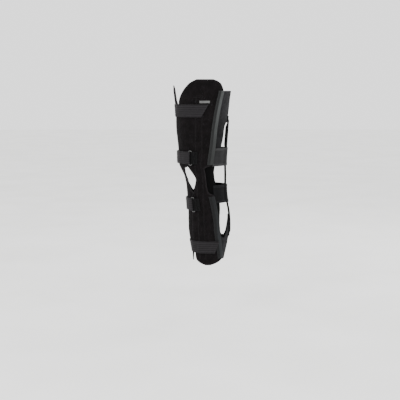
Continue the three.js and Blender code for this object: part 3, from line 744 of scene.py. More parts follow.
rearPanelLook = {
    "windowTop": 0.565,
    "windowBottom": -0.68,
    "tongueTop": -0.426,
    "cells": {"cloth": 16, "window": 6, "tongue": 4},  # across half of the panel
    "edgeRows": (0.004, 0.0041, 0.0008),  # close rows: below and above an edge, and their spacing
    "rimAngle": 40,  # where the width of the rims is measured
    "rimShare": {"side": 0.3, "tongue": 0.45},  # the most of a row that a rim takes
    # how dark the cloth is painted by height, as shade; most between the elastic bars
    "shade": ((-0.2, -0.17, -0.13, -0.05, 0.069, 0.075, 0.16, 0.22), (0, 0.15, 0.8, 1, 1, 0.5, 0.4, 0)),
    "puff": 0.0003,
    "flatShare": 0.6,
    "wrinkle": 0.0005,
    "folds": {"size": (0.04, 0.04, 0.02), "seed": 6},
    "seam": {"inset": 0.0042, "width": 0.0008, "depth": 0.0004},
}
rearRows = [  # at, side, outer, inner
    (0.886, 24, 76, 83), (0.784, 18, 76, 83), (0.69, 15, 76, 83), (0.565, 12, 74, 83),
    (0.55, 12, 67, 80), (0.51, 11, 63, 76), (0.46, 10, 62, 74), (0.39, 9, 59, 74),
    (0.3, 6, 52, 74), (0.206, 2, 40, 74), (0.12, -6, 34, 74), (0.065, -11, 29, 74),
    (-0.019, -12, 29, 74), (-0.067, -11, 32.5, 76), (-0.167, -6, 38, 80), (-0.289, 0, 41, 84),
    (-0.426, 3, 34, 84), (-0.478, 4, 33, 76), (-0.55, 5, 32, 67), (-0.635, 8, 34, 59),
    (-0.665, 9.5, 38, 54), (-0.68, 10, 43, 50), (-0.767, 14, 46, 58), (-0.856, 20, 52, 66),
    (-0.94, 27, 58, 72),
]


def rearPanel():
    look = rearPanelLook
    cells = look["cells"]
    sideAt, outerAt, innerAt = (columnOf(rearRows, k, 0.003) for k in (1, 2, 3))
    top, tongue, bottom = (heightOf(look[key]) for key in ("windowTop", "tongueTop", "windowBottom"))
    below, above, step = look["edgeRows"]
    finer = [(edge - below, edge + above, step) for edge in (top, tongue, bottom)]
    levels = rowsBetween(heightOf(rearRows[-1][0]), heightOf(rearRows[0][0]), finer=finer)
    rows = []
    for z in levels:
        side, outer, inner = float(sideAt(z)), float(outerAt(z)), float(innerAt(z))
        edge = float(degreesFor(rimSteps[-1], look["rimAngle"], z, layer["back"] / 2))
        atSide = min(edge, look["rimShare"]["side"] * (outer - side))
        atTongue = min(edge, look["rimShare"]["tongue"] * (rearLine - inner))
        half = list(side + rimShares[:-1] * atSide)
        half += list(np.linspace(side + atSide, outer - atSide, cells["cloth"], endpoint=False))
        half += list(outer - rimShares[::-1] * atSide)
        half += list(np.linspace(outer, inner, cells["window"])[1:-1])
        half += list(inner + rimShares[:-1] * atTongue)
        half += list(np.linspace(inner + atTongue, rearLine, cells["tongue"], endpoint=False))
        rows.append(half + [rearLine] + [2 * rearLine - angle for angle in reversed(half)])
    angle = np.array(rows)
    z, filled = heightsOver(levels, angle), allFilled(angle)
    columns = angle.shape[1] - 1
    sideCells = 2 * (len(rimShares) - 1) + cells["cloth"]
    openCells = cells["window"] - 1
    i = np.arange(columns)
    fromSide = np.minimum(i, columns - 1 - i)[None, :]
    at = (levels[:-1] + levels[1:])[:, None] / 2
    inWindow = (at < top) & (at > bottom) & (fromSide >= sideCells)
    filled &= ~(inWindow & ((fromSide < sideCells + openCells) | (at > tongue)))
    inner, outer = np.full_like(angle, 0.0), np.full_like(angle, layer["back"])

    def relief(angle, z, distance):
        folds = unevenness(place(angle, z, layer["back"]), **look["folds"])
        return puffed(look, distance) + look["wrinkle"] * (folds - 0.2)

    def wearAndShadeOf(angle, z, distance):
        # painted shade: between the elastic bars, behind the knee, the attribute goes below zero and darkens
        # the cloth; elsewhere it holds the rubbed edges
        shade = np.interp(z, *look["shade"])
        return np.where(shade > 0, -shade, edgeWear(angle, z, distance))

    grids = (angle, z, inner, outer, filled)
    obj = padOn("rear_panel_padded", *grids, rearLoop, relief, look["seam"], wearAndShadeOf)
    return obj, (sideAt, outerAt, innerAt)


rearObj, rearEdges = rearPanel()
print("rear panel made")


# Edge tapes, the stay sleeve and the elastic bars

def rubbedRim(distance):
    strength, reach = rim["clothWear"]
    return strength * np.exp(-distance / reach)


def strip(name, angle, z, inner, height, material, rimRadius, wearAndPaintedLight):
    # a flat piece of cloth on the leg: height is its thickness over its inner face
    flat = flatGrid(angle, z, float(np.mean(inner)) + 0.001)
    filled = allFilled(angle)
    distance = edgeDistance(flat, filled)
    rounding = roundRim(distance, rimRadius)
    middle = inner + 0.5 * np.minimum(height, 2 * rimRadius)
    top = middle + (inner + height - middle) * rounding
    low = middle - (middle - inner) * rounding
    wearAndPaintedLight = wearAndPaintedLight + rubbedRim(distance)
    return closedShell(name, place(angle, z, low), place(angle, z, top), flat, filled, material, wearAndPaintedLight)


tapeLook = {
    "width": 0.021,
    "edge": 0.0012,
    "crown": 0.0027,
    "ridge": (0.38, 0.54, 0.80, 0.95),  # shares of the width where the raised core rises and falls
    "rubbedAndHighlit": (0.38, 0.50, 0.95, 1.0),  # the same for its part painted lighter as a highlight
    "rimRadius": 0.0006,
    "lumpHeight": 0.00015,
    "lumps": {"size": (0.02, 0.02, 0.03), "seed": 8},
    "patches": {"size": (0.008, 0.008, 0.02), "seed": 9},
    "fade": (0.3, 1.1, 0.06, 0.24),  # strength of the painted highlight near the knee and at the far ends, and the heights
    "across": (
        0, 0.012, 0.035, 0.07, 0.12, 0.18, 0.24, 0.3, 0.35, 0.4, 0.44, 0.48, 0.52, 0.56, 0.6, 0.64,
        0.67, 0.7, 0.74, 0.78, 0.82, 0.86, 0.9, 0.93, 0.96, 0.985, 1,
    ),
    "upper": (0.145, 0.886),
    "lower": (-0.923, -0.2),
}


def tapeFrontAt(z):
    rear = sideRearAt(z)
    return rear - degreesFor(tapeLook["width"], rear, z, sideOuter)


def edgeTape(name, bottom, top, material):
    look = tapeLook
    levels = rowsBetween(heightOf(bottom), heightOf(top))
    share = np.array(look["across"])
    angle = mixed(tapeFrontAt(levels)[:, None], sideRearAt(levels)[:, None], share[None, :])
    z = heightsOver(levels, angle)
    core = plateau(share, *look["ridge"])
    points = place(angle, z, sideOuter)
    lumps, patchy = unevenness(points, **look["lumps"]), unevenness(points, **look["patches"])
    height = mixed(look["edge"], look["crown"], core)[None, :] + look["lumpHeight"] * lumps
    inner = np.full_like(angle, sideOuter + layer["gap"] * 0.7)
    least, most, low, high = look["fade"]
    faded = mixed(least, most, smoothstep(np.abs(z), low, high))
    # painted highlight: the rear of the raised core is painted lighter, less near the knee and in random
    # patches; the rims are rubbed as well
    wearAndPaintedLight = plateau(share, *look["rubbedAndHighlit"])[None, :] * faded * (0.8 + 0.2 * patchy)
    return strip(name, angle, z, inner, height, material, look["rimRadius"], wearAndPaintedLight)


outerTapes, innerTapes = {}, {}
# the lower tapes take the copy painted darker as shade
for part, weave in (("upper", tapeWeave), ("lower", lowerTapeWeave)):
    outerTapes[part] = edgeTape(f"outer_{part}_edge_tape_woven", *tapeLook[part], weave)
    innerTapes[part] = mirrorCopy(outerTapes[part], f"inner_{part}_edge_tape_woven")

sleeveLook = {
    "width": 0.034,
    "thickness": 0.0045,
    "thinned": 0.0002,  # the fine piece is this much thinner, to clear the bars
    "margin": (0.0010, 0.0030),  # flat hem, and where the raised core is full
    "columns": 24,
    "columnInset": 0.0022,
    "rimUnit": 0.0012,
    "rimRadius": 0.0007,
    "flat": 0.0018,
    "sewnEnd": (0.008, 0.016),  # the sleeve is flat up to the first length, and full from the second
    # how far it bulges inwards, by height: most in the open window over the upper elastic bar
    "swell": ((-0.121, -0.105, 0.09, 0.105, 0.163, 0.179), (0, 0.0009, 0.0009, 0.0048, 0.0048, 0)),
    "top": 0.63,
    "bottom": -0.675,
}


def staySleeve():
    look = sleeveLook
    levels = rowsBetween(heightOf(look["bottom"]), heightOf(look["top"]))
    edge = np.array(rim["steps"])[:5] * look["rimUnit"]
    inset = look["columnInset"]
    middle = np.linspace(inset, look["width"] - inset, look["columns"])
    across = np.concatenate([edge, middle, look["width"] - edge[::-1]])
    degrees = degreesFor(1.0, rearLine, levels, layer["back"])[:, None]
    angle = rearLine + (across - look["width"] / 2)[None, :] * degrees
    z = heightsOver(levels, angle)
    fromEdge = np.minimum(across, look["width"] - across)
    core = smoothstep(fromEdge, *look["margin"])
    sewn, full = look["sewnEnd"]
    ends = plateau(levels, levels[0] + sewn, levels[0] + full, levels[-1] - full, levels[-1] - sewn)
    height = mixed(look["flat"], look["thickness"] - look["thinned"], core[None, :] * ends[:, None])
    swell = np.interp(levels, *look["swell"])[:, None] * core[None, :]
    inner = layer["back"] + layer["gap"] - swell
    size = (inner, height + swell, sleeveWeave, look["rimRadius"])
    return strip("rear_stay_sleeve_woven", angle, z, *size, wearAndPaintedLight=0 * angle)


sleeveObj = staySleeve()

barLook = {
    "height": 0.058,
    "thickness": 0.0020,
    "clearance": 0.0012,
    "narrowing": 0.8,
    "thinned": 0.0003,
    "sleeveGap": 0.0006,
    "hem": 0.008,
    "hemEdge": 0.0008,
    "hemRise": 0.0004,
    "hemFlattens": 0.7,  # how much the hem takes off the ribs
    "wearAndPaintedLight": (0.35, 0.25),  # of the hem and of the ribs
    "seamWidth": 0.0007,
    "seamDepth": 0.0005,
    "ribPitch": 0.0038,
    "ribHeight": 0.00022,
    "rimRadius": 0.0007,
    "row": 0.0018,
    "columns": 150,
    "overSleeve": (3, 10),  # degrees beside the sleeve over which the bar climbs onto it
    "upper": 0.217,
    "lower": -0.177,
}
barLengths, barAreas = {}, {}


def elasticBar(name, at, material):
    look = barLook
    centre = heightOf(at)
    bottom, top = centre - look["height"] / 2, centre + look["height"] / 2
    levels = rowsBetween(bottom, top, look["row"])
    widest = sideRearAt(levels).max()
    edge = np.maximum(sideRearAt(levels), widest * look["narrowing"])
    start = edge + degreesFor(look["clearance"], edge, levels, layer["back"])
    angle = columnsFor(start, 2 * rearLine - start, levels, layer["back"], noKnots, (look["columns"],))
    z = heightsOver(levels, angle)
    sleeveHalf = degreesFor(sleeveLook["width"] / 2, rearLine, levels, layer["back"])[:, None]
    near, far = look["overSleeve"]
    over = 1 - smoothstep(np.abs(angle - rearLine), sleeveHalf + near, sleeveHalf + far)
    inner = layer["back"] + layer["gap"] + over * (sleeveLook["thickness"] + look["sleeveGap"])
    along = flatGrid(angle, z, layer["back"])[:, :, 0]
    rib = look["ribHeight"] * np.cos(2 * np.pi * along / look["ribPitch"])
    fromEnd = np.minimum(z - bottom, top - z)
    hem = 1 - smoothstep(fromEnd, look["hem"] - look["hemEdge"], look["hem"])
    seam = look["seamDepth"] * bell(fromEnd - look["hem"], look["seamWidth"])
    ribbed = rib * (1 - look["hemFlattens"] * hem)
    height = look["thickness"] - look["thinned"] + ribbed + look["hemRise"] * hem - seam
    hemWear, ribWear = look["wearAndPaintedLight"]
    wearAndPaintedLight = hemWear * hem + ribWear * np.clip(rib / look["ribHeight"], 0, 1)
    lengths = along[:, -1] - along[:, 0]
    barLengths[name] = float(lengths.max())
    barAreas[name] = float(((lengths[1:] + lengths[:-1]) / 2 * np.diff(levels)).sum())
    return strip(name, angle, z, inner, height, material, look["rimRadius"], wearAndPaintedLight)


upperBar = elasticBar("upper_elastic_bar_knitted", barLook["upper"], elasticKnit)
lowerBar = elasticBar("lower_elastic_bar_knitted", barLook["lower"], lowerElasticKnit)
print("tapes, sleeve and elastic bars made")


# Straps, ring tabs and rings

def stackUnder(angle, z):
    # the height of the cloth that webbing lies on: panels, their pockets and the lower tape
    angle, z = np.broadcast_arrays(angle, z)
    folded = np.where(angle > frontLine, angle, insideLine - angle)
    start, end = strapLook["ontoSide"]
    onSide = smoothstep(folded, sideFrontAt(z) - start, sideFrontAt(z) - end)
    stack = mixed(layer["back"], sideOuter + pocketHeight(folded, z), onSide)
    low, high = (heightOf(at) for at in tapeLook["lower"])
    onTape = (z > low) & (z < high) & (angle > tapeFrontAt(z))
    return np.where(onTape, sideOuter + layer["gap"] + tapeLook["crown"], stack)


def restingAt(middle):
    # the smooth height that webbing rests at, round the leg: over the highest cloth nearby
    fine = np.arange(-200, 40, 0.5)
    highest = np.zeros_like(fine)
    for aside in (-4, -2, 0, 2, 4):
        for up in (-0.5, -0.25, 0, 0.25, 0.5):
            highest = np.maximum(highest, stackUnder(fine + aside, middle + up * strapLook["width"]))
    smooth = blurred(highest, 12, 1, 4)
    return lambda angle: np.interp(angle, fine, smooth) + layer["gap"]


bandRim = {
    "steps": (0, 0.0002, 0.0006, 0.0011, 0.0018),
    "inset": 0.0026,
    "ribLines": 7,
    "plainLines": 18,
    "ribRamp": (0.0006, 0.002),
    "crestWear": 0.35,
}


def bandOver(name, path, middle, material, width, thickness, step, ribs=0, ribHeight=0, slant=None):
    # webbing along a path of (angle, offset) points at one height; slant gives the angles at
    # which the lower and the upper corner of a slanted end lie
    edge, inset = np.array(bandRim["steps"]), bandRim["inset"]
    count = bandRim["ribLines"] * ribs if ribs else bandRim["plainLines"]
    lines = np.concatenate([edge, np.linspace(inset, width - inset, count), width - edge[::-1]])
    angles, offsets = path
    length = lengthAlong(place(angles, middle, offsets))
    total = length[-1]
    stops = np.concatenate([edge, np.linspace(inset, total - inset, int(total / step)), total - edge[::-1]])
    angle = np.interp(stops, length, angles)
    offset = np.interp(stops, length, offsets)
    grid = np.zeros((len(lines), len(stops)))
    angleGrid = grid + angle[None, :]
    if slant:
        lean = mixed(*slant, lines / width)
        share = (angle - angles[0]) / (angles[-1] - angles[0])
        angleGrid = angles[0] + (lean[:, None] - angles[0]) * share[None, :]
    z = middle - width / 2 + lines[:, None] + grid
    points = place(angleGrid, z, grid + offset[None, :])
    along = np.gradient(points, axis=1)
    outward = unit(np.stack([along[..., 1], -along[..., 0], 0 * along[..., 0]], axis=-1))
    fromSide = np.minimum(lines, width - lines)[:, None]
    fromEnd = np.minimum(stops, total - stops)[None, :]
    distance = np.minimum(fromSide + 0 * fromEnd, fromEnd + 0 * fromSide)
    half = thickness / 2 * roundRim(distance, thickness / 2)
    rib = ribHeight * np.cos(2 * np.pi * ribs * lines / width)[:, None]
    low, full = bandRim["ribRamp"]
    rib = rib * smoothstep(fromSide, low, full) * smoothstep(distance, 0, full)
    top = points + outward * (half + rib)[..., None]
    low = points - outward * half[..., None]
    flat = np.stack([grid + stops[None, :], z], axis=-1)
    crest = np.clip(rib / ribHeight, 0, 1) if ribs else 0
    wearAndPaintedLight = bandRim["crestWear"] * crest + rubbedRim(distance)
    return closedShell(name, low, top, flat, allFilled(grid), material, wearAndPaintedLight)


def sewnEndOf(middle):
    # the angle of a strap's hidden, sewn end, kept clear of the tape
    edges = [float(tapeFrontAt(middle + up * strapLook["width"])) for up in (-0.5, 0, 0.5)]
    return insideLine - min([strapLook["sewnAngle"]] + [edge - strapLook["tapeClear"] for edge in edges])


def plainStrap(name, at, lowerEnd, upperEnd):
    look = strapLook
    middle = heightOf(at)
    start, end = sewnEndOf(middle), (lowerEnd + upperEnd) / 2
    angles = np.linspace(start, end, 500)
    offsets = restingAt(middle)(angles) + look["thickness"] / 2
    size = {key: look[key] for key in ("width", "thickness", "step", "ribs", "ribHeight")}
    return bandOver(name, (angles, offsets), middle, strapWeave, **size, slant=(lowerEnd, upperEnd))


ringLook = {
    "wire": 0.003,
    "width": 0.013,
    "clearance": 0.001,
    "cornerRadius": 0.003,
    "tabThickness": 0.0014,
    "tabLength": 0.019,
    "tabStep": 0.0009,
    "tabGap": 0.0005,  # between the tab's two layers
    "tabSettles": 0.6,  # share of the tab's length over which it leaves the cloth
    "wireClearance": 0.0005,
    "sides": 18,
    "cornerSteps": 8,
    "squareness": 2.4,  # 2 is a round wire; the moulded one is a little squarer
}
ringOffset = (
    sideOuter + sidePanelLook["pocketRise"] + layer["gap"]
    + ringLook["tabThickness"] + ringLook["wireClearance"] + ringLook["wire"] / 2
)


def ringBars(ringAngle, middle):
    half = float(degreesFor((ringLook["width"] - ringLook["wire"]) / 2, ringAngle, middle, ringOffset))
    return ringAngle - half, ringAngle + half


def roundBar(bar, middle, radius, side):
    # half a turn round a ring's bar: outwards past its rear (1), or inwards past its front (-1)
    turn = np.linspace(0, np.pi, 24)[1:-1]
    aside = side * radius * np.sin(turn) * degreesFor(1.0, bar, middle, ringOffset)
    return bar + aside, ringOffset - side * radius * np.cos(turn)


def ringStrap(name, at, ringAngle):
    look = strapLook
    middle = heightOf(at)
    bar = ringBars(ringAngle, middle)[0]
    turnRadius = ringLook["wire"] / 2 + ringLook["wireClearance"] + look["thickness"] / 2
    rest = restingAt(middle)

    def onRing(angle):
        return smoothstep(angle, bar - look["foldReach"], bar)

    def lower(angle):
        return mixed(rest(angle) + look["thickness"] / 2, ringOffset - turnRadius, onRing(angle))

    def upper(angle):
        lying = lower(angle) + look["thickness"] + layer["gap"] * look["foldedGap"]
        return mixed(lying, ringOffset + turnRadius, onRing(angle))

    under, back = np.linspace(sewnEndOf(middle), bar, 500), np.linspace(bar, look["foldedEnd"], 300)
    turn, turnOffset = roundBar(bar, middle, turnRadius, 1)
    angles = np.concatenate([under, turn, back])
    offsets = np.concatenate([lower(under), turnOffset, upper(back)])
    size = {"width": look["width"], "thickness": look["thickness"], "step": look["foldedStep"]}
    # the other face of the webbing shows where it comes back, so the ribs are turned over
    ribbing = {"ribs": look["ribs"], "ribHeight": -look["ribHeight"]}
    return bandOver(name, (angles, offsets), middle, strapWeave, **size, **ribbing)


def ringTab(name, at, ringAngle):
    look = ringLook
    middle = heightOf(at)
    bar = ringBars(ringAngle, middle)[1]
    turnRadius = look["wire"] / 2 + look["wireClearance"] + look["tabThickness"] / 2
    length = float(degreesFor(look["tabLength"], bar, middle, ringOffset))
    sewnEnd, settle = bar + length, length * look["tabSettles"]
    rest = restingAt(middle)

    def onRing(angle):
        return 1 - smoothstep(angle, bar, bar + settle)

    def lower(angle):
        return mixed(rest(angle) + look["tabThickness"] / 2, ringOffset - turnRadius, onRing(angle))

    def upper(angle):
        lying = lower(angle) + look["tabThickness"] + look["tabGap"]
        return mixed(lying, ringOffset + turnRadius, onRing(angle))

    out = np.linspace(sewnEnd, bar, 80)
    turn, turnOffset = roundBar(bar, middle, turnRadius, -1)
    angles = np.concatenate([out, turn, out[::-1]])
    offsets = np.concatenate([upper(out), turnOffset, lower(out[::-1])])
    size = {"width": strapLook["width"], "thickness": look["tabThickness"], "step": look["tabStep"]}
    return bandOver(name, (angles, offsets), middle, sleeveWeave, **size)


def strapRing(name, at, ringAngle):
    look = ringLook
    sides, cornerSteps = look["sides"], look["cornerSteps"]
    middle = heightOf(at)
    halfWidth = (look["width"] - look["wire"]) / 2
    halfHeight = (strapLook["width"] + 2 * look["clearance"] + look["wire"]) / 2
    radius = look["cornerRadius"]
    perLength = float(degreesFor(1.0, ringAngle, middle, ringOffset))
    path = []
    for k, (across, up) in enumerate(((1, 1), (-1, 1), (-1, -1), (1, -1))):
        for s in range(cornerSteps + 1):
            turn = math.pi / 2 * (k + s / cornerSteps)
            x = across * (halfWidth - radius) + radius * math.cos(turn)
            path.append((x, up * (halfHeight - radius) + radius * math.sin(turn)))
    x, y = np.array(path).T
    centre = place(ringAngle + x * perLength, middle + y, ringOffset)
    outward = unit(place(ringAngle + x * perLength, middle + y, ringOffset + 0.001) - centre)
    along = unit(np.roll(centre, -1, axis=0) - np.roll(centre, 1, axis=0))
    beside = np.cross(along, outward)
    turns = 2 * np.pi * np.arange(sides) / sides
    power = look["squareness"]
    squared = np.abs(np.cos(turns)) ** power + np.abs(np.sin(turns)) ** power
    reach = look["wire"] / 2 * squared ** (-1 / power)
    section = outward[:, None] * (reach * np.cos(turns))[None, :, None]
    section = section + beside[:, None] * (reach * np.sin(turns))[None, :, None]
    points = (centre[:, None] + section).reshape(-1, 3)
    count = len(path)
    faces = []
    for k in range(count):
        for s in range(sides):
            after, side = (k + 1) % count, (s + 1) % sides
            faces.append((k * sides + s, k * sides + side, after * sides + side, after * sides + s))
    return makeMesh(name, points, faces, glossyNylon)


straps = {name: plainStrap(name + "_webbing", *row) for name, row in strapLook["plain"].items()}
rings, tabs = {}, {}
for name, row in strapLook["ringed"].items():
    straps[name + "_strap"] = ringStrap(name + "_strap_webbing", *row)
    rings[name] = strapRing(name + "_ring_moulded", *row)
    tabs[name] = ringTab(name + "_ring_tab_webbing", *row)
print("straps, rings and tabs made")


# Tag: the place of the printed label, left plain

tagLook = {
    "length": 0.033,
    "height": 0.008,
    "thickness": 0.0008,
    "step": 0.0008,
    "lift": 0.0007,
    "bulge": 0.0003,
    "angle": 4.7,
    "at": 0.775,
}


def wovenTag():
    look = tagLook
    middle = heightOf(look["at"])
    half = float(degreesFor(look["length"] / 2, look["angle"], middle, sideOuter))
    angles = np.linspace(look["angle"] - half, look["angle"] + half, 200)
    bulge = look["bulge"] * np.sin(np.linspace(0, np.pi, 200))
    offsets = restingAt(middle)(angles) - layer["gap"] + look["lift"] + bulge
    size = {"width": look["height"], "thickness": look["thickness"], "step": look["step"]}
    return bandOver("woven_tag_satin", (angles, offsets), middle, tagSatin, **size)


tagObj = wovenTag()


# Stitching: a tree that lays short rounded stitches along guide lines on the cloth

def stitchTree():
    tree = bpy.data.node_groups.new("stitchRow", "GeometryNodeTree")
    kinds = {"Lines": "Geometry", "Thread": "Material"}
    sockets = {}
    for name in ("Lines", "Pitch", "Length", "Thickness", "Thread"):
        kind = "NodeSocket" + kinds.get(name, "Float")
        sockets[name] = tree.interface.new_socket(name, in_out="INPUT", socket_type=kind)
    tree.interface.new_socket("Stitches", in_out="OUTPUT", socket_type="NodeSocketGeometry")
    given = addNode(tree, "NodeGroupInput").outputs
    curves = addNode(tree, "GeometryNodeMeshToCurve", {}, {"Mesh": given["Lines"]})
    links = {"Curve": curves.outputs["Curve"], "Length": given["Pitch"]}
    spaced = addNode(tree, "GeometryNodeResampleCurve", {"mode": "LENGTH"}, links)
    tangent = addNode(tree, "GeometryNodeInputTangent").outputs["Tangent"]
    turned = addNode(tree, "FunctionNodeAlignRotationToVector", {"axis": "Z"}, {"Vector": tangent})
    bead = addNode(tree, "GeometryNodeMeshUVSphere", {"Segments": 6, "Rings": 4, "Radius": 0.5})
    links = {"X": given["Thickness"], "Y": given["Thickness"], "Z": given["Length"]}
    size = addNode(tree, "ShaderNodeCombineXYZ", {}, links)
    links = {
        "Points": spaced.outputs["Curve"],
        "Instance": bead.outputs["Mesh"],
        "Rotation": turned.outputs["Rotation"],
        "Scale": size.outputs["Vector"],
    }
    laid = addNode(tree, "GeometryNodeInstanceOnPoints", {}, links)
    real = addNode(tree, "GeometryNodeRealizeInstances", {}, {"Geometry": laid.outputs["Instances"]})
    links = {"Geometry": real.outputs["Geometry"], "Material": given["Thread"]}
    sewn = addNode(tree, "GeometryNodeSetMaterial", {}, links)
    addNode(tree, "NodeGroupOutput", {}, {"Stitches": sewn.outputs["Geometry"]})
    return tree, sockets


stitchGroup, stitchSockets = stitchTree()
stitchInputs = {"Pitch": 0.0034, "Length": 0.0027, "Thickness": 0.0008, "Thread": threadTwist}
stitchLook = {
    "sample": 0.0015,
    "lift": 0.0001,
    "seam": 0.0042,  # how far inside a panel's edge its seam runs, as its groove does
    "end": 0.003,  # how far a seam stays from the end of a tape, the sleeve or a bar
    "pocket": {"end": 0.004, "inset": 0.0045, "beside": 0.2},
    "tape": {"shares": (0.09, 0.36, 0.945), "ends": (0.1, 0.94)},
    "sleeve": {"inset": 0.0026, "rows": 0.006},
    "bar": {"hem": 0.0016, "degrees": 6, "inset": 0.005},
    "strapBox": {"inset": 0.004, "near": 0.004, "plain": 0.03, "ringed": 0.026},
    "tabBox": {"inset": 0.003, "near": 0.006, "far": 0.016},
    "tag": {"inset": 0.0018, "end": 0.001},
    "threads": {"tag": 0.0005, "tape": 0.0006, "sleeve": 0.0007, "bar": 0.0007, "tab": 0.0007},
}


def sampled(angle, z):
    # a line of angles and heights at even steps along the cloth
    angle, z = np.broadcast_arrays(np.asarray(angle, float), np.asarray(z, float))
    length = lengthAlong(place(angle, z, sideOuter))
    at = np.linspace(0, length[-1], max(2, int(length[-1] / stitchLook["sample"])))
    return np.interp(at, length, angle), np.interp(at, length, z)


def laidOn(obj, rows):
    # lines of angles and heights as points on the outside of a piece
    points = [v.co.copy() for v in obj.data.vertices]
    surface = BVHTree.FromPolygons(points, [list(face.vertices) for face in obj.data.polygons])
    lines = []
    for row in rows:
        angle, z = sampled(*row)
        line = []
        for start, end in zip(place(angle, z, 0.04), place(angle, z, -0.01)):
            heading = Vector(end - start).normalized()
            hit = surface.ray_cast(Vector(start), heading, 0.05)[0]
            if hit is not None:
                line.append(np.array(hit - heading * stitchLook["lift"]))
        lines.append(np.array(line))
    return lines


def stitch(name, lines, thickness=stitchInputs["Thickness"]):
    points, edges = [], []
    for line in lines:
        if len(line) < 2:
            continue
        start = len(points)
        points += line.tolist()
        edges += [(start + k, start + k + 1) for k in range(len(line) - 1)]
    guide = bpy.data.meshes.new(name + "_guide")
    guide.from_pydata(points, edges, [])
    source = addObject(name + "_guide", guide)
    modifier = source.modifiers.new("stitching", "NODES")
    modifier.node_group = stitchGroup
    for key, value in {**stitchInputs, "Thickness": thickness}.items():
        modifier[stitchSockets[key].identifier] = value
    ready = source.evaluated_get(bpy.context.evaluated_depsgraph_get())
    mesh = bpy.data.meshes.new_from_object(ready)
    mesh.name = name
    mesh.shade_smooth()
    bpy.data.objects.remove(source)
    obj = addObject(name, mesh)
    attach(obj, "root")
    return obj


def insetOutline(edges, inset, offset=sideOuter):
    # a line that keeps one distance inside an outline given as (angle, height) points
    angle, z = edges
    points = place(angle, z, offset)
    along = unit(np.roll(points, -1, axis=0) - np.roll(points, 1, axis=0))
    inward = unit(np.cross(place(angle, z, offset + 0.001) - points, along))
    around = unit(place(angle + 0.5, z, offset) - place(angle - 0.5, z, offset))
    sideways = (inward * around).sum(axis=1)
    return angle + inset * sideways * degreesFor(1.0, angle, z, offset), z + inset * inward[:, 2]


def outlineOf(lowAt, highAt, bottom, top):
    # the closed outline of a panel, up its high edge and down its low edge
    z = np.append(np.arange(bottom, top, 0.002), top)
    across = np.linspace(0, 1, 12)[1:-1]
    topLine = mixed(highAt(top), lowAt(top), across)
    bottomLine = mixed(lowAt(bottom), highAt(bottom), across)
    angle = np.concatenate([highAt(z), topLine, lowAt(z)[::-1], bottomLine])
    height = np.concatenate([z, top + 0 * across, z[::-1], bottom + 0 * across])
    return angle, height


def levelRow(start, end, height, count=10):
    return np.linspace(start, end, count), np.full(count, height)


def pocketLines():
    # the seam round the stay pocket, just inside its shoulders
    look, seam = sidePanelLook, stitchLook["pocket"]
    low, high = heightOf(look["pocketBottom"]) + seam["end"], heightOf(look["pocketTop"]) - seam["end"]
    z = np.arange(low, high, 0.004)
    middle = pocketMiddleAt(z)
    half = degreesFor(look["pocketWidth"] / 2 - seam["inset"], middle, z, sideOuter)
    front, rear = sideFrontAt(z), sideRearAt(z)
    near = np.maximum(middle - half, mixed(front, rear, seam["beside"]))
    far = np.minimum(middle + half, mixed(front, rear, 1 - seam["beside"]))
    return [(near, z), (far, z), levelRow(near[-1], far[-1], z[-1])]


def mirroredLines(lines):
    return [line * (-1, 1, 1) for line in lines]


sideOutline = outlineOf(sideFrontAt, sideRearAt, -leg["lowerLength"], leg["upperLength"])
sideLines = laidOn(outerPanel, [insetOutline(sideOutline, stitchLook["seam"]), *pocketLines()])
stitch("outer_panel_stitching", sideLines)
stitch("inner_panel_stitching", mirroredLines(sideLines))

frontOutline = outlineOf(
    lambda z: frontLine - frontHalfAt(z),
    lambda z: frontLine + frontHalfAt(z),
    heightOf(frontRows[-1][0]),
    heightOf(frontRows[0][0]),
)
frontInset = insetOutline(frontOutline, stitchLook["seam"], layer["back"])
stitch("front_panel_stitching", laidOn(frontObj, [frontInset]))


def rearStitches():
    look = rearPanelLook
    sideAt, outerAt, innerAt = rearEdges
    inset = stitchLook["seam"]
    top, tongue, bottom = (heightOf(look[key]) for key in ("windowTop", "tongueTop", "windowBottom"))
    low, high = heightOf(rearRows[-1][0]) + inset, heightOf(rearRows[0][0]) - inset
    aside = inset * degreesFor(1.0, look["rimAngle"], 0.0, layer["back"] / 2)
    z, windowZ, tongueZ = (
        np.arange(start, end, 0.003)
        for start, end in ((low, high), (bottom - inset, top + inset), (bottom - inset, tongue - inset))
    )
    rows = []
    for flip in (lambda a: a, lambda a: 2 * rearLine - a):
        rows.append((flip(sideAt(z) + aside), z))
        rows.append((flip(outerAt(windowZ) - aside), windowZ))
        rows.append((flip(innerAt(tongueZ) + aside), tongueZ))
        across, level = levelRow(outerAt(bottom - inset) - 3, innerAt(bottom - inset) + 4, bottom - inset, 8)
        rows.append((flip(across), level))
    # level rows end a few degrees past a corner, or short of an edge
    for edge, height, count in (
        (outerAt(top + inset) - 3, top + inset, 30),
        (sideAt(high) + 4, high, 30),
        (sideAt(low) + 4, low, 30),
        (innerAt(tongue - inset) + 3, tongue - inset, 12),
    ):
        rows.append(levelRow(edge, 2 * rearLine - edge, height, count))
    return laidOn(rearObj, rows)


stitch("rear_panel_stitching", rearStitches())


def seamHeights(bottom, top):
    return np.arange(heightOf(bottom) + stitchLook["end"], heightOf(top) - stitchLook["end"], 0.004)


def tapeStitches(obj, bottom, top):
    z = seamHeights(bottom, top)
    front, rear = tapeFrontAt(z), sideRearAt(z)
    rows = [(mixed(front, rear, share), z) for share in stitchLook["tape"]["shares"]]
    for k in (0, -1):
        low, high = (mixed(front[k], rear[k], share) for share in stitchLook["tape"]["ends"])
        rows.append(levelRow(low, high, z[k]))
    return laidOn(obj, rows)


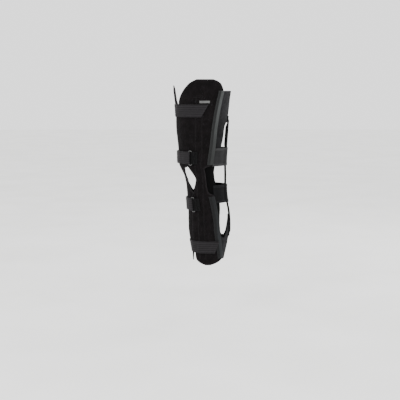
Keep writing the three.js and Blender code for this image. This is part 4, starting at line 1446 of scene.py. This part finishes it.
for part in ("upper", "lower"):
    lines = tapeStitches(outerTapes[part], *tapeLook[part])
    thickness = stitchLook["threads"]["tape"]
    stitch(f"outer_{part}_edge_tape_stitching", lines, thickness)
    stitch(f"inner_{part}_edge_tape_stitching", mirroredLines(lines), thickness)


def sleeveStitches():
    look, seam = sleeveLook, stitchLook["sleeve"]
    z = seamHeights(look["bottom"], look["top"])
    half = degreesFor(look["width"] / 2 - seam["inset"], rearLine, z, layer["back"])
    rows = [(rearLine - half, z), (rearLine + half, z)]
    for height in (z[0], z[0] + seam["rows"], z[-1], z[-1] - seam["rows"]):
        rows.append(levelRow(rearLine - half[0], rearLine + half[0], height))
    return laidOn(sleeveObj, rows)


stitch("rear_stay_sleeve_stitching", sleeveStitches(), stitchLook["threads"]["sleeve"])


def barStitches(obj, at):
    look, seam = barLook, stitchLook["bar"]
    centre = heightOf(at)
    rows = []
    for up in (-1, 1):
        height = centre + up * (look["height"] / 2 - look["hem"] + seam["hem"])
        edge = sideRearAt(height) + seam["degrees"]
        rows.append(levelRow(edge, 2 * rearLine - edge, height, 60))
    reach = look["height"] / 2 - stitchLook["end"]
    z = np.linspace(centre - reach, centre + reach, 20)
    widest = sideRearAt(z).max()
    edge = np.maximum(sideRearAt(z), widest * look["narrowing"])
    edge = edge + degreesFor(seam["inset"], 30, z, layer["back"])
    rows += [(edge, z), (2 * rearLine - edge, z)]
    return laidOn(obj, rows)


for part, bar in (("upper", upperBar), ("lower", lowerBar)):
    lines = barStitches(bar, barLook[part])
    stitch(f"{part}_elastic_bar_stitching", lines, stitchLook["threads"]["bar"])


def boxStitches(obj, middle, low, high, inset):
    # a sewn box with a cross in it, between two angles
    half = strapLook["width"] / 2 - inset
    bottom, top = middle - half, middle + half
    corners = ((low, bottom), (high, bottom), (high, top), (low, top), (low, bottom), (high, top))
    ends = [*zip(corners[:-1], corners[1:]), ((high, bottom), (low, top))]
    return laidOn(obj, [(np.linspace(a1, a2, 12), np.linspace(z1, z2, 12)) for (a1, z1), (a2, z2) in ends])


def boxEnds(start, middle, offset, lengths):
    return [start + float(degreesFor(length, start, middle, offset)) for length in lengths]


def strapStitches(name, at, kind):
    # the box at a strap's sewn end
    box = stitchLook["strapBox"]
    middle = heightOf(at)
    ends = boxEnds(sewnEndOf(middle), middle, sideOuter, (box["near"], box[kind]))
    stitch(name + "_stitching", boxStitches(straps[name], middle, *ends, box["inset"]))


for name, (at, *_) in strapLook["plain"].items():
    strapStitches(name, at, "plain")
for name, (at, ringAngle) in strapLook["ringed"].items():
    strapStitches(name + "_strap", at, "ringed")
    box, middle = stitchLook["tabBox"], heightOf(at)
    ends = boxEnds(ringBars(ringAngle, middle)[1], middle, ringOffset, (box["near"], box["far"]))
    lines = boxStitches(tabs[name], middle, *ends, box["inset"])
    stitch(name + "_ring_tab_stitching", lines, stitchLook["threads"]["tab"])


def tagStitches():
    look, seam = tagLook, stitchLook["tag"]
    middle = heightOf(look["at"])
    half = float(degreesFor(look["length"] / 2 - seam["inset"], look["angle"], middle, sideOuter))
    reach = look["height"] / 2 - seam["end"]
    z = np.linspace(middle - reach, middle + reach, 8)
    return laidOn(tagObj, [(look["angle"] + side * half + 0 * z, z) for side in (-1, 1)])


stitch("woven_tag_stitching", tagStitches(), stitchLook["threads"]["tag"])
print("stitching laid")


# Each piece stands for its solid
pieces = [
    (outerPanel, "outer_panel", "panel_laminate"),
    (innerPanel, "inner_panel", "panel_laminate"),
    (frontObj, "front_panel", "panel_laminate"),
    (rearObj, "rear_panel", "rear_laminate"),
    (sleeveObj, "rear_stay_sleeve", "stay_webbing"),
    (upperBar, "upper_elastic_bar", "elastic"),
    (lowerBar, "lower_elastic_bar", "elastic"),
    (tagObj, "woven_tag", "tag_satin"),
]
for part in ("upper", "lower"):
    pieces.append((outerTapes[part], f"outer_{part}_edge_tape", "edge_tape"))
    pieces.append((innerTapes[part], f"inner_{part}_edge_tape", "edge_tape"))
for name, obj in straps.items():
    pieces.append((obj, name, "strap_webbing"))
for name in rings:
    pieces.append((rings[name], name + "_ring", "ring_nylon"))
    pieces.append((tabs[name], name + "_ring_tab", "stay_webbing"))
for obj, node, slot in pieces:
    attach(obj, "root")
    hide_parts(node)


# Floor, lights and camera
stageLook = {
    "floorZ": -0.467,
    "floorSize": 30.0,
    "floor": ("#f4f4f2", "#fbfbfa"),
    "world": "#ffffff",
    "worldStrength": 1.8,
}


def makeStage():
    half = stageLook["floorSize"] / 2
    z = stageLook["floorZ"]
    corners = np.array([(-half, -half, z), (half, -half, z), (half, half, z), (-half, half, z)])
    material, tree = startMaterial("painted studio floor")
    place3d = addNode(tree, "ShaderNodeTexCoord").outputs["Object"]
    grain = addNode(tree, "ShaderNodeTexNoise", {"Scale": 3.0, "Detail": 2}, {"Vector": place3d})
    colour = coloured(tree, *stageLook["floor"], grain.outputs[0], start=0.3, end=0.7)
    finishMaterial(tree, {"Roughness": 0.9}, colour, grain.outputs[0], bump=0.01, depth=0.001)
    floor = makeMesh("floor", corners, [(0, 1, 2, 3)], material)
    world = bpy.data.worlds.new("studio")
    bpy.context.scene.world = world
    world.use_nodes = True
    background = world.node_tree.nodes["Background"]
    background.inputs["Color"].default_value = paint(stageLook["world"])
    background.inputs["Strength"].default_value = stageLook["worldStrength"]


lights = [  # name, place, aim, size, watts
    ("key", (2.2, -1.6, 1.9), (0, 0, 0), 1.6, 45),
    ("fill", (2.4, 2.0, 0.9), (0, 0, 0), 1.8, 22),
    ("rear", (-1.6, 1.8, 1.6), (0, 0, 0), 1.4, 25),
]


def makeLights():
    for name, at, aim, size, watts in lights:
        lamp = bpy.data.lights.new(name, "AREA")
        lamp.shape = "DISK"
        lamp.size = size
        lamp.energy = watts
        obj = addObject(name, lamp)
        obj.location = at
        obj.rotation_euler = (Vector(aim) - Vector(at)).to_track_quat("-Z", "Y").to_euler()


view = {
    "distance": 3.0,
    "side": -0.0206,
    "height": 0.28,
    "tilt": 6.75,
    "focalPixels": 921.0,
    "imagePixels": 400,
}


def makeCamera():
    lens = bpy.data.cameras.new("camera")
    lens.sensor_width = 36
    lens.sensor_fit = "HORIZONTAL"
    lens.lens = view["focalPixels"] / view["imagePixels"] * lens.sensor_width
    lens.clip_end = 100
    camera = addObject("camera", lens)
    camera.location = (view["distance"], view["side"], view["height"])
    camera.rotation_euler = (math.radians(90 - view["tilt"]), 0, math.radians(90))
    bpy.context.scene.camera = camera


makeStage()
makeLights()
makeCamera()
print("stage, lights and camera set")
